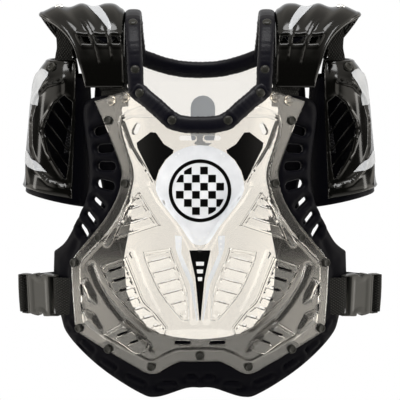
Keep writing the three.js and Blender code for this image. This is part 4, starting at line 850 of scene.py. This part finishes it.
def neck_roll(name, form, line, width, thick, creases, node, end_round=7.0):
    wall = 1.2
    p = np.array(line)
    path = form(p[:, 0], p[:, 1], np.full(len(p), wall))
    out = path - form(p[:, 0], p[:, 1], np.full(len(p), wall + 1))
    along = np.gradient(path, axis=0)
    side = np.cross(along, out)
    at = [form(np.array([x]), np.array([z]), np.array([wall]))[0] for x, z in creases]
    scale = pad_scale(path, at, end_round=end_round)
    obj = sweep(name, path, side, superellipse(width, thick, 2.5), PADDING, scale)
    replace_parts(obj, node)


front_line = catmull([(89, -85), (77.5, -93.5), (54.5, -112), (36, -127.5), (18, -132.5), (0, -133)], 2.2 * FINE)
front_line = [tuple(p) for p in front_line]
front_line = front_line[:-1] + [(-x, z) for x, z in front_line[::-1]]
neck_roll("neck_roll_chest", CHEST, front_line, 22.5, 16, [(77, -94), (35.5, -128), (-77, -94), (-35.5, -128)],
          "neck_roll_front")
back_line = catmull([(80, -54.5), (72, -58), (50, -66), (25, -71.5), (0, -73)], 2.4 * FINE)
back_line = [tuple(p) for p in back_line]
back_line = back_line[:-1] + [(-x, z) for x, z in back_line[::-1]]
neck_roll("neck_roll_nape", BACK, back_line, 22.5, 15, [], "neck_roll_back", 2.5)

for k, (x, z) in enumerate(SNAPS):
    for side in (1, -1):
        at, n = normal_of(CHEST, x * side, z)
        dome("snap_%d_%s" % (k, "rl"[side < 0]), at + n * 5.6, n, 6.0, 3.0)


def mirrored_pair(build):
    """Builds the right piece, then the left one."""
    for side, tag_name in ((1, "right"), (-1, "left")):
        build(np.array([side, 1, 1]), tag_name)


def strap_path():
    foot, _ = normal_of(CHEST, 83, -98)
    heel, _ = normal_of(BACK, 83, -67)
    pts = [(83, foot[1] + 1.2, -96), (84.5, -75.5, -66), (86.5, -64.5, -34), (88, -44, -6), (88.5, -23, 4),
           (88.5, 0, 7), (88.5, 23, 4), (88, 42, -4.5), (86.5, 63, -26), (84.5, 77, -47), (83, heel[1] - 1.2, -66)]
    return spline(pts, 2.2)


STRAP = strap_path()
STRAP_SNAPS = [(84.6, -74.8, -64), (87.9, -44, -6), (87.9, 46, -7)]


def neck_strap(side, tag_name):
    path = STRAP * side
    snaps = [np.array(s) * side for s in STRAP_SNAPS]
    obj = sweep("neck_strap_pad_" + tag_name, path, (1, 0, 0), superellipse(21, 12.5, 2.8), PADDING,
                pad_scale(path, snaps, 0.1))
    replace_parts(obj, "neck_strap_" + tag_name)
    _, _, out = frames(STRAP, np.tile([1.0, 0, 0], (len(STRAP), 1)))
    for k, s in enumerate(STRAP_SNAPS):
        i = np.argmin(np.linalg.norm(STRAP - np.array(s), axis=1))
        n = out[i] if out[i] @ (STRAP[i] - (88, 0, -60)) > 0 else -out[i]
        dome("strap_snap_%d_%s" % (k, tag_name), (STRAP[i] + n * 4.4) * side, n * side, 6.0, 3.0)


mirrored_pair(neck_strap)

# ------------------------------------------------------------------ rivets

RIVETS = [(119.5, -129.5), (97.6, -210), (132, -282), (165.4, -318), (159.3, -405.5), (120.4, -430), (63.6, -450.7)]
for k, (x, z) in enumerate(RIVETS):
    for side, word in ((1, "right"), (-1, "left")):
        at, n = normal_of(CHEST, x * side, z)
        obj = dome("rivet_head_%d_%s" % (k + 1, word), at + n * 0.8, n, 5.9, 2.9, STUD, 1.0)
        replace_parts(obj, "rivet_%d_%s" % (k + 1, word))
at, n = normal_of(CHEST, 0, -434.3)
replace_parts(dome("rivet_head_middle", at + n * 0.8, n, 5.9, 2.9, STUD, 1.0), "rivet_middle")
for k, (x, z) in enumerate([(116.3, -103.8), (97.8, -99.3)]):
    for side, word in ((1, "right"), (-1, "left")):
        at, n = normal_of(CHEST, x * side, z)
        obj = dome("corner_dome_%d_%s" % (k + 1, word), at + n * 0.3, n, 6.6, 4.4, CLEAR)
        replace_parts(obj, "corner_rivet_%d_%s" % (k + 1, word))

# ------------------------------------------------------------------ shoulder guards

ARCH = [(-90, 0.44), (-80, 0.478), (-70, 0.525), (-58, 0.583), (-48, 0.664), (-38, 0.767), (-28, 0.87), (-14, 0.97),
        (0, 1), (14, 0.99), (30, 0.95), (48, 0.85), (65, 0.7), (72, 0.62)]
FLUTES = [(0, -1.7), (0.12, 0.75), (0.22, 1), (0.37, 0), (0.5, 1), (0.64, 0), (0.79, 1), (0.9, 0.5), (1, 0)]


def eased(table, x):
    """The value of a table of pairs at x, with flat tops and bottoms between the rows."""
    xs, ys = zip(*table)
    i = np.clip(np.searchsorted(xs, x) - 1, 0, len(xs) - 2)
    xs, ys = np.array(xs), np.array(ys)
    t = np.clip((x - xs[i]) / (xs[i + 1] - xs[i]), 0, 1)
    m = np.gradient(ys, xs)
    h = xs[i + 1] - xs[i]
    return ((2 * t**3 - 3 * t**2 + 1) * ys[i] + (t**3 - 2 * t**2 + t) * h * m[i]
            + (-2 * t**3 + 3 * t**2) * ys[i + 1] + (t**3 - t**2) * h * m[i + 1])


DEG = 1.3  # millimetres of the flat pattern for each degree of the arch


def guard_place(u, v, sunk):
    """u runs across the guard, 0 to 116, and v round its arch."""
    u, v = np.asarray(u, float), np.asarray(v, float)

    def base(u, v):
        angle = v / DEG
        width = 116 * np.clip(eased(ARCH, angle), 0, 1.0)
        across = np.clip(u / 116, -0.02, 1.02)
        rad = np.radians(angle)
        out = width * across
        droop = 10 * np.clip((out - 58) / 58, 0, None) ** 2
        return np.stack([99 + out, 72 * np.sin(rad), 17 - 104 * (1 - np.cos(rad)) - droop], -1)

    p = base(u, v)
    n = np.cross(base(u + 0.2, v) - base(u - 0.2, v), base(u, v + 0.2) - base(u, v - 0.2))
    n /= np.linalg.norm(n, axis=1)[:, None]
    n *= np.where((n * (p - (150, 0, -60))).sum(1) < 0, -1, 1)[:, None]
    fade = np.clip((np.cos(np.radians(v / DEG)) - math.cos(math.radians(66))) * 1.7, 0, 1)
    flute = 4.2 * fade * eased(FLUTES, np.clip(u / 116, 0, 1))
    return p + n * (flute - np.asarray(sunk))[:, None]


def guard_faces(p, e):
    lip = 1.0 * np.exp(-(((e - 3.2) / 1.6) ** 2))
    for rib in GUARD_RIBS:
        lip = lip + 1.3 * np.exp(-((far(p, rib, False) / 1.5) ** 2))
    return rounded(e, 1.5) - lip, 3.0 - rounded(e, 1.0) * 0.6 - lip


GUARD_FLAT = [(0, -90 * DEG), (116, -90 * DEG), (116, 72 * DEG), (0, 72 * DEG)]


def rounded_box(x, z, width, height, radius=1.4):
    """A rectangle with rounded corners."""
    out = []
    for k in range(4):
        cx = x + (width / 2 - radius) * (1, -1, -1, 1)[k]
        cz = z + (height / 2 - radius) * (1, 1, -1, -1)[k]
        for i in range(4):
            a = math.radians(90 * k + 30 * i)
            out.append((cx + radius * math.cos(a), cz + radius * math.sin(a)))
    return np.array(out)


GUARD_SLOTS = [rounded_box(x, -53 * DEG, w, 7.4) for x, w in ((18.5, 16), (49, 23), (84, 22))]
GUARD_RIBS = [[(70, -34 * DEG), (66.5, -55 * DEG), (63, -72 * DEG)], [(33, -44 * DEG), (31, -68 * DEG)],
              [(7, -48 * DEG), (4.5, -68 * DEG)]]


def mirrored_place(place, side):
    return lambda u, v, sunk: place(u, v, sunk) * side


def shoulder_guard(side, tag_name):
    corner = resample(np.array(GUARD_FLAT, float), 6)
    obj = shell("shoulder_shell_" + tag_name, corner, GUARD_SLOTS, mirrored_place(guard_place, side), guard_faces, 2.6,
                GLOSS, (0.6, 1.6, 3.2), 38)
    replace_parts(obj, "shoulder_guard_" + tag_name)
    flash = [(26, -45 * DEG), (30, -44.5 * DEG), (36, -37 * DEG), (43, -24 * DEG), (52, -6 * DEG),
             (36, -6 * DEG), (31, -22 * DEG), (26, -34 * DEG), (24, -41 * DEG)]
    obj = shell("shoulder_flash_" + tag_name, np.array(flash, float), [], mirrored_place(guard_place, side),
                lambda p, e: (np.full(len(p), -0.45), np.full(len(p), -0.15)), 2.0, FLASH, (), 60)
    at = guard_place(np.array([88.0]), np.array([-6.0 * DEG]), np.array([0.0]))[0]
    below = guard_place(np.array([88.0]), np.array([-6.0 * DEG]), np.array([1.0]))[0]
    dome("shoulder_rivet_" + tag_name, at * side, (at - below) * side, 5.6, 2.6, CHROME)


mirrored_pair(shoulder_guard)


def shoulder_pad(side, tag_name):
    loop = slot(37.5, 0, 2 * 55 * DEG, 62, 90, 10)
    obj = shell("shoulder_foam_" + tag_name, loop, [], mirrored_place(
        lambda u, v, sunk: guard_place(u, v, sunk), side),
        lambda p, e: (3.6 + rounded(e, 3.4), 11.0 - rounded(e, 3.4)), 4, FOAM, (0.8, 2.4), 60)
    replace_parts(obj, "shoulder_pad_" + tag_name)


mirrored_pair(shoulder_pad)

# ------------------------------------------------------------------ arm guards

ARM = [(0, 0.54, 0.6), (0.04, 0.66, 0.7), (0.11, 0.8, 0.83), (0.25, 0.9, 0.93), (0.5, 0.96, 0.98), (0.88, 1, 1),
       (1, 1.04, 1.03), (1.06, 1.05, 1.04)]


def arm_place(u, v, sunk):
    """u is the angle round the arm in degrees, from straight out, and v runs down, 0 to 190."""
    u, v = np.asarray(u, float), np.asarray(v, float)
    down = v / 190
    reach = 53 * eased([(a, b) for a, b, _ in ARM], down)
    depth = 58 * eased([(a, c) for a, _, c in ARM], down)
    rad = np.radians(u)
    fall = down * 190 * (1 - 0.1 * (1 + np.cos(rad)) / 2)
    c, s = np.cos(rad), np.sin(rad)
    p = np.stack([174 + reach * c + 0.05 * fall, 14 + depth * s, -53 - fall], 1)
    n = np.stack([c / reach, s / depth, np.zeros_like(c)], 1)
    n /= np.linalg.norm(n, axis=1)[:, None]
    n[:, 2] = np.clip(0.9 - down * 5, 0, 1)
    n /= np.linalg.norm(n, axis=1)[:, None]
    return p - n * np.asarray(sunk)[:, None]


def arm_flat(x, z):
    """The angle and the distance down of a point on the front of the arm guard, from its x and z."""
    down = (-53 - z) / 190
    for _ in range(3):
        reach = 53 * float(eased([(a, b) for a, b, _ in ARM], np.array([down]))[0])
        c = max(-0.95, min(0.95, (x - 174 - 0.05 * down * 190) / reach))
        u = -math.degrees(math.acos(c))
        down = (-53 - z) / (190 * (1 - 0.1 * (1 + c) / 2))
    return u, down * 190


SWOOSH = [(-100, 176), (-70, 172), (-45, 158), (-25, 128), (-18, 90), (-30, 55), (-52, 34), (-84, 26)]
SWOOSH_2 = [(-28, 182), (-6, 150), (6, 105), (4, 60), (-10, 24)]
# Printed flashes of the arm guard: x and z of points on its front, then u and v of points on its outer side
FLASHES = [
    ([(217.5, -114), (214, -97), (208.5, -84), (202, -75), (200.5, -70)],
     [(-40, 15), (-25, 14), (-8, 22), (-4, 40), (-4, 66)]),
    ([(204.5, -201), (214, -192)], [(-12, 136), (-4, 138), (-4, 152), (-22, 158), (-40, 160)]),
]


def arm_faces(p, e):
    inner = signed(p, np.array(SWOOSH, float))
    high = -2.2 * smoothstep(-1.5, 4, inner)
    high += 1.8 * np.exp(-((far(p, SWOOSH, False) / 3.0) ** 2)) + 1.6 * np.exp(-((far(p, SWOOSH_2, False) / 4.5) ** 2))
    lip = 1.0 * np.exp(-(((e - 3.0) / 1.6) ** 2))
    return -high + rounded(e, 1.5) - lip, -high + 3.0 - rounded(e, 1.0) * 0.6 - lip


# The arm guard's window, as x and z on its front, and where its slanted bars cross it
ARM_WINDOW = [(168.7, -108.4), (179.8, -99.5), (193.4, -110.5), (204.6, -130.7), (210.1, -143.6), (202.7, -173),
              (178.9, -209.8), (174.3, -191.4), (171.5, -152.6)]
ARM_STRIPS = [(-212.2, -197), (-226.2, -214.4), (-242.6, -228.4), (-256.6, -244.8), (-273, -258.8)]
ARM_SLANT = (-0.766, 0.643)


def clipped(loop, normal, low):
    """The part of a convex loop where its product with normal is above low."""
    out = []
    for p, q in zip(loop, np.roll(loop, -1, axis=0)):
        a, b = p @ normal - low, q @ normal - low
        if a >= 0:
            out.append(p)
        if a * b < 0:
            out.append(p + (q - p) * a / (a - b))
    return np.array(out)


def arm_slots(grow=0.0):
    normal = np.array(ARM_SLANT)
    out = []
    for low, high in ARM_STRIPS:
        strip = clipped(clipped(np.array(ARM_WINDOW), normal, low), -normal, -high)
        out.append(np.array([arm_flat(x, z) for x, z in resample(strip, 3.0)]))
    return out


def arm_guard(side, tag_name):
    loop = resample(np.array([(-105, 0), (105, 0), (105, 190), (-105, 190)], float)[::-1], 5)
    obj = shell("arm_shell_" + tag_name, loop, arm_slots(), mirrored_place(arm_place, side), arm_faces, 2.8, GLOSS,
                (0.6, 1.6, 3.2), 38)
    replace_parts(obj, "arm_guard_" + tag_name)
    for k, flash in enumerate(FLASHES):
        flat = np.array([arm_flat(x, z) for x, z in flash[0]] + flash[1])
        obj = shell("arm_flash_%d_%s" % (k, tag_name), flat, [], mirrored_place(arm_place, side),
                    lambda p, e: (arm_faces(p, e + 20)[0] - 0.8, arm_faces(p, e + 20)[0] - 0.3), 2.0, FLASH, (), 60)
    u, v = arm_flat(195.4, -62.5)
    at = arm_place(np.array([u]), np.array([v]), np.array([0.0]))[0]
    below = arm_place(np.array([u]), np.array([v]), np.array([1.0]))[0]
    dome("arm_snap_" + tag_name, at * side, (at - below) * side, 6.6, 3.2, STUD, 1.0)


mirrored_pair(arm_guard)


def arm_foam(side, tag_name):
    near, beyond = arm_flat(169.0, -88), arm_flat(192.2, -88)
    loop = [(-139, 24), (near[0], 21), near, beyond, (beyond[0], 21), (121, 21), (121, 199), (-139, 199)]
    loop = resample(np.array(loop, float)[::-1], 5)
    middle = np.mean(ARM_WINDOW, axis=0)
    window = [arm_flat(*(middle + (np.array(p) - middle) * 1.06)) for p in ARM_WINDOW]
    window = resample(np.array(window), 4)
    obj = shell("arm_foam_" + tag_name, loop, [window], mirrored_place(arm_place, side),
                lambda p, e: (3.8 + rounded(e, 2.8), 9.6 - rounded(e, 2.8)), 4, FOAM, (0.6, 2.0), 60)
    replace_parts(obj, "arm_liner_" + tag_name)


mirrored_pair(arm_foam)

# ------------------------------------------------------------------ webbing


def ribbon(name, rows, thick, mat, node, side):
    """Flat webbing through rows of (left edge, right edge) points."""
    rows = np.array(rows, float) * side
    left, right = spline(rows[:, 0], 2.5), None
    n = len(left)
    middle = (rows[:, 0] + rows[:, 1]) / 2
    fine = catmull(list(np.concatenate([middle, rows[:, 1] - rows[:, 0]], 1)), 2.5 * FINE)
    fine = np.array(fine)
    path, across = fine[:, :3], fine[:, 3:]
    width = np.linalg.norm(across, axis=1)
    obj = sweep(name, path, across, band(1.0, 1.0), mat,
                np.stack([width, np.full(len(path), thick)], 1), sharp=60)
    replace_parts(obj, node)
    layer = obj.data.uv_layers[0]
    uv = np.empty(len(layer.data) * 2)
    layer.data.foreach_get("uv", uv)
    uv = uv.reshape(-1, 2)
    uv[:, 0] *= width.mean()
    layer.data.foreach_set("uv", uv.ravel())
    return obj


def chest_web(side, tag_name):
    def on(form, x, z, wall=5.0):
        return form(np.array([x]), np.array([z]), np.array([wall]))[0]

    rows = [(on(CHEST, 95, z), on(CHEST, 132, z)) for z in (-112, -101, -90)]
    rows += [((95, -67.8, -84), (132, -67.8, -84)), ((95, -65.8, -65), (132, -65.8, -65)), ((95, -61.5, -47), (132, -61.5, -47))]
    ribbon("chest_strap_" + tag_name, rows, 1.8, WEBBING, "chest_webbing_" + tag_name, side)
    rows = [(on(BACK, 95, z), on(BACK, 132, z)) for z in (-80, -70, -60)]
    rows += [((95, 63.6, -56), (132, 63.6, -56)), ((95, 60.6, -44.5), (132, 60.6, -44.5)), ((95, 57, -34.5), (132, 57, -34.5))]
    ribbon("nape_strap_" + tag_name, rows, 1.8, WEBBING, "back_webbing_" + tag_name, side)


mirrored_pair(chest_web)


def guard_under(angle, x, inset=4.4):
    """A point under the shoulder guard's plain arch."""
    width = 116 * float(eased(ARCH, np.array([float(angle)]))[0])
    across, rad = (x - 99) / 116, math.radians(angle)
    droop = 10 * max(0.0, (width * across - 58) / 58) ** 2
    return np.array([99 + width * across, (72 - inset) * math.sin(rad),
                     17 - 104 * (1 - math.cos(rad)) - droop - inset * math.cos(rad)])


def arm_web(side, tag_name):
    under = [[guard_under(angle, x) for x in (170, 190)] for angle in (-4, -20)]
    inner = []
    for down in (0, 0.07, 0.17):
        pts = []
        for x in (170, 190):
            reach = 53 * float(eased([(a, b) for a, b, _ in ARM], np.array([down]))[0]) - 4.4
            angle = -math.degrees(math.acos(min(0.9, (x - 174) / reach)))
            pts.append(arm_place(np.array([angle]), np.array([down * 190.0]), np.array([0.0]))[0] + (0, 4.9, 0))
        inner.append(pts)
    hang = []
    for share, fore in ((0.35, 4), (0.75, 0)):
        pts = []
        for j, x in enumerate((170, 190)):
            p = under[1][j] + (inner[0][j] - under[1][j]) * share
            pts.append((x, p[1] - fore, p[2]))
        hang.append(pts)
    ribbon("arm_hanger_" + tag_name, [*under, *hang, *inner], 1.8, WEBBING, "arm_webbing_" + tag_name, side)


mirrored_pair(arm_web)


def elastic(side, tag_name):
    rows = []
    for angle, sunk in ((62, -1.6), (84, -1.6), (104, -1.8)):
        pts = [arm_place(np.array([float(angle)]), np.array([v]), np.array([sunk]))[0] for v in (91.0, 129.0)]
        rows.append(pts)
    for out, along in ((-0.46, 0.95), (-0.51, 0.72), (-0.56, 0.46), (-0.69, 0.1), (-0.66, -0.4), (-0.52, -0.62)):
        pts = []
        for v in (91.0, 129.0):
            back_point = arm_place(np.array([90.0]), np.array([v]), np.array([0.0]))[0]
            pts.append((back_point[0] + out * 53, 14 + along * 58, back_point[2]))
        rows.append(pts)
    for angle in (-113, -93):
        rows.append([arm_place(np.array([float(angle)]), np.array([v]), np.array([12.0]))[0] for v in (91.0, 129.0)])
    ribbon("arm_band_" + tag_name, rows, 2.2, ELASTIC, "arm_elastic_" + tag_name, side)


mirrored_pair(elastic)

# Side straps and buckles, in the axes of the strap: s along it, w across it and n out of it

STRAP_AT = np.array([168.7, -55.5, -364.7])
STRAP_ALONG = np.array([0.857, 0.515, -0.011]) / np.linalg.norm([0.857, 0.515, -0.011])
STRAP_ACROSS = np.array([0.041, -0.048, 0.998])
STRAP_ACROSS = STRAP_ACROSS - STRAP_ALONG * (STRAP_ACROSS @ STRAP_ALONG)
STRAP_ACROSS = STRAP_ACROSS / np.linalg.norm(STRAP_ACROSS)
STRAP_OUT = np.cross(STRAP_ALONG, STRAP_ACROSS)
BAR = 24.0  # middle of the socket's bar
BODY = (33.0, 66.0)  # the socket's body
INSERT = (66.4, 82.8)
INSERT_BAR = 80.85
WRAP = 4.05  # radius of webbing round a bar


def in_strap(s, w, n):
    s, w, n = (np.asarray(v, float)[..., None] for v in (s, w, n))
    return STRAP_AT + STRAP_ALONG * s + STRAP_ACROSS * w + STRAP_OUT * n


def wrap_points():
    arc = [(WRAP * math.cos(math.radians(a)), WRAP * math.sin(math.radians(a))) for a in (90, 60, 30, 0, -30, -60, -90)]
    return [(-8.4, WRAP * 0.75), *arc, (-12, -WRAP)]


def side_web_chest(side, tag_name):
    rows = []
    for x in (144, 153, 162, 171.5):
        rows.append([CHEST(np.array([x]), np.array([-365.0 + w]), np.array([4.7]))[0] for w in (-25, 25)])
    rows += [[in_strap(BAR + u, w, n) for w in (-25, 25)] for u, n in wrap_points()]
    ribbon("side_strap_chest_" + tag_name, rows, 1.8, WEBBING, "side_webbing_front_" + tag_name, side)


def side_web_back(side, tag_name):
    rows = []
    for x in (110, 119, 128, 136.5):
        rows.append([BACK(np.array([x]), np.array([-365.0 + w]), np.array([4.9]))[0] for w in (-25, 25)])
    bar = [in_strap(INSERT_BAR, w, 0.0) for w in (-25, 25)]
    to_bar = (bar[0] + bar[1] - rows[-1][0] - rows[-1][1]) / 2
    to_bar = to_bar / np.linalg.norm(to_bar)
    outward = np.cross(to_bar, STRAP_ACROSS)
    outward = outward / np.linalg.norm(outward)
    wrap = [[p + to_bar * u + outward * v for p in bar] for u, v in wrap_points()]
    for share in (0.3, 0.55, 0.8):
        rows.append([a + (b - a) * share for a, b in zip(rows[3], wrap[0])])
    ribbon("side_strap_back_" + tag_name, rows + wrap, 1.8, WEBBING, "side_webbing_back_" + tag_name, side)


mirrored_pair(side_web_chest)
mirrored_pair(side_web_back)


def carve(obj, boxes, side):
    """Cuts boxes, given in the strap's axes, out of a piece."""
    for s0, s1, w0, w1, n0, n1 in boxes:
        corners = [in_strap(s, w, n) * side for s in (s0, s1) for w in (w0, w1) for n in (n0, n1)]
        faces = [(0, 1, 3, 2), (4, 6, 7, 5), (0, 4, 5, 1), (2, 3, 7, 6), (0, 2, 6, 4), (1, 5, 7, 3)]
        if side[0] < 0:
            faces = [f[::-1] for f in faces]
        mesh = bpy.data.meshes.new("cutter")
        mesh.from_pydata([tuple(c * MM) for c in corners], [], faces)
        cutter = bpy.data.objects.new("cutter", mesh)
        bpy.context.scene.collection.objects.link(cutter)
        cut = obj.modifiers.new("cut", "BOOLEAN")
        cut.operation = "DIFFERENCE"
        cut.solver = "EXACT"
        cut.object = cutter
        done = bpy.data.meshes.new_from_object(obj.evaluated_get(bpy.context.evaluated_depsgraph_get()))
        obj.modifiers.clear()
        obj.data = done
        bpy.data.objects.remove(cutter)
    return obj


def buckle_part(name, outline, holes, front, node, side):
    """A flat moulding in the strap's axes, from the depth of its faces off its middle."""
    def place(s, w, n):
        return in_strap(s, w, -n) * side

    obj = shell(name, np.array(outline, float), holes, place, lambda p, e: (-front(p, e), front(p, e)), 2.2, BUCKLE,
                (0.5, 1.2, 2.0), 35)
    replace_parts(obj, node)
    return obj


def buckle(side, tag_name):
    half = 28.5
    bow = [(22, 27), (30, 27.6), (40, 28.5), (44.5, 28.5), (45.5, 25.5), (47, 24.5), (51, 24.5), (52.5, 25.5),
           (53.5, 28.4), (58, 28), (63, 27), (66, 26)]
    outline = bow + [(s, -w) for s, w in bow[::-1]]
    window = rounded_box(29.5, 0, 7.0, 52, 0.8)

    def body(p, e):
        on_body = smoothstep(31.5, 34, p[:, 0])
        rim = smoothstep(4.5, 6.5, e) * smoothstep(0, 3, p[:, 0] - 36) * smoothstep(0, 3, 61 - p[:, 0])
        return 2.0 + 4.0 * np.maximum(on_body, smoothstep(25.6, 26.4, np.abs(p[:, 1]))) - 0.8 * rim - rounded(e, 1.1)

    socket = buckle_part("buckle_socket_shell_" + tag_name, outline[::-1], [window], body, "buckle_socket_" + tag_name,
                         side)
    carve(socket, [(45, 70, -24.4, 24.4, -3.9, 3.9)], side)
    ends = [(66.4, 26.5), (72, 27), (80, 26.5), (82.8, 25.0)]
    outline = ends + [(s, -w) for s, w in ends[::-1]]
    window = rounded_box(74.4, 0, 8.8, 51, 0.8)

    def base(p, e):
        on_bar = smoothstep(78.0, 79.0, p[:, 0]) * (1 - smoothstep(25.6, 26.4, np.abs(p[:, 1])))
        return 4.5 - 2.4 * on_bar - rounded(e, 0.9)

    insert = buckle_part("buckle_insert_shell_" + tag_name, outline[::-1], [window], base, "buckle_insert_" + tag_name,
                         side)
    for k, w in enumerate((-17, 0, 17)):
        buckle_part("buckle_prong_%d_%s" % (k, tag_name), rounded_box(56.7, w, 19.0, 8, 1.5), [],
                    lambda p, e: 3.4 - rounded(e, 0.9), "buckle_insert_" + tag_name, side)


mirrored_pair(buckle)


# ------------------------------------------------------------------ light and camera

world = bpy.data.worlds.new("studio")
bpy.context.scene.world = world
world.use_nodes = True
wn, wl = world.node_tree.nodes, world.node_tree.links
split = wn.new("ShaderNodeSeparateXYZ")
wl.new(wn.new("ShaderNodeTexCoord").outputs["Generated"], split.inputs[0])


def world_math(operation, *values):
    node = wn.new("ShaderNodeMath")
    node.operation = operation
    for i, value in enumerate(values):
        if isinstance(value, (int, float)):
            node.inputs[i].default_value = value
        else:
            wl.new(value, node.inputs[i])
    return node.outputs[0]


def world_step(value, low, high, top=1.0):
    """Rises smoothly from 0 at low to top at high."""
    node = wn.new("ShaderNodeMapRange")
    node.interpolation_type = "SMOOTHSTEP"
    wl.new(value, node.inputs["Value"])
    for key, number in (("From Min", low), ("From Max", high), ("To Min", 0.0), ("To Max", top)):
        node.inputs[key].default_value = number
    return node.outputs["Result"]


# A white backdrop, seen directly and through the clear plates, in a dim room with bright walls at the sides and above
rays = wn.new("ShaderNodeLightPath")
through = world_math("MULTIPLY", rays.outputs["Is Transmission Ray"],
                     world_math("LESS_THAN", rays.outputs["Glossy Depth"], 0.5))
seen = world_math("MAXIMUM", rays.outputs["Is Camera Ray"], through)
backdrop = world_math("MAXIMUM", world_step(split.outputs["Y"], 0.62, 0.86), seen)
side = world_step(world_math("ABSOLUTE", split.outputs["X"]), 0.4, 0.8, 2.3)
upward = world_step(split.outputs["Z"], 0.35, 0.85, 1.1)
height = split.outputs["Z"]
low_band = world_math("SUBTRACT", world_step(height, -0.62, -0.45), world_step(height, -0.24, -0.1))
high_band = world_math("SUBTRACT", world_step(height, 0.04, 0.16), world_step(height, 0.42, 0.52))
level = world_math("MULTIPLY", side, world_math("ADD", low_band, high_band))
room = world_math("ADD", world_math("ADD", level, upward), 0.07)
mix = wn.new("ShaderNodeMix")
mix.data_type = "RGBA"
wl.new(backdrop, mix.inputs["Factor"])
mix.inputs["B"].default_value = (1, 1, 1, 1)
tint = wn.new("ShaderNodeCombineColor")
for key, share in (("Red", 1.0), ("Green", 0.95), ("Blue", 0.86)):
    wl.new(world_math("MULTIPLY", room, share), tint.inputs[key])
wl.new(tint.outputs["Color"], mix.inputs["A"])
wl.new(mix.outputs["Result"], wn["Background"].inputs["Color"])


def softbox(name, at, look, size, power, color=(1, 1, 1), glossy=True):
    data = bpy.data.lights.new(name, "AREA")
    data.shape = "RECTANGLE"
    data.size, data.size_y = size
    data.energy = power
    data.color = color
    obj = bpy.data.objects.new(name, data)
    bpy.context.scene.collection.objects.link(obj)
    obj.location = at
    obj.rotation_euler = (Vector(look) - Vector(at)).to_track_quat("-Z", "Y").to_euler()
    obj.visible_glossy = glossy
    obj.visible_camera = False
    obj.visible_transmission = False
    return obj


softbox("box_top", (0.0, -0.8, 1.7), (0, 0, -0.2), (1.6, 0.5), 32)
softbox("box_right", (2.1, 0.1, -0.1), (0.1, 0, -0.25), (0.35, 1.9), 15, (1, 0.97, 0.92))
softbox("box_left", (-2.1, 0.1, -0.1), (-0.1, 0, -0.25), (0.35, 1.9), 15, (1, 0.97, 0.92))
softbox("box_low", (0.0, -0.9, -1.9), (0, 0, -0.3), (1.6, 0.5), 22)
softbox("box_front", (-0.5, -2.6, 0.5), (0, 0, -0.25), (2.2, 1.6), 20, (1, 1, 1), False)
softbox("box_back", (0.5, 2.6, 0.5), (0, 0, -0.25), (2.2, 1.6), 26, (1, 1, 1), False)

camera_data = bpy.data.cameras.new("camera")
camera = bpy.data.objects.new("camera", camera_data)
bpy.context.scene.collection.objects.link(camera)
target = Vector((0.0, 0.0, -0.242))
tilt = math.radians(6)
camera.location = target + Vector((0, -math.cos(tilt), math.sin(tilt))) * 3.5
camera.rotation_euler = (target - camera.location).to_track_quat("-Z", "Y").to_euler()
camera_data.sensor_width = 36
camera_data.lens = 36 * 3500 / (1.34 * 400)
camera_data.clip_end = 50
bpy.context.scene.camera = camera
bpy.context.scene.view_settings.view_transform = "Standard"

floor_mesh = bpy.data.meshes.new("floor")
rim = [(0.95 * math.cos(math.radians(a)), 0.95 * math.sin(math.radians(a)), -0.75) for a in range(0, 360, 5)]
floor_mesh.from_pydata(rim, [], [tuple(range(len(rim)))])
floor_mesh.materials.append(principled("floor", (0.8, 0.8, 0.78), 0.7))
floor = bpy.data.objects.new("floor", floor_mesh)
bpy.context.scene.collection.objects.link(floor)
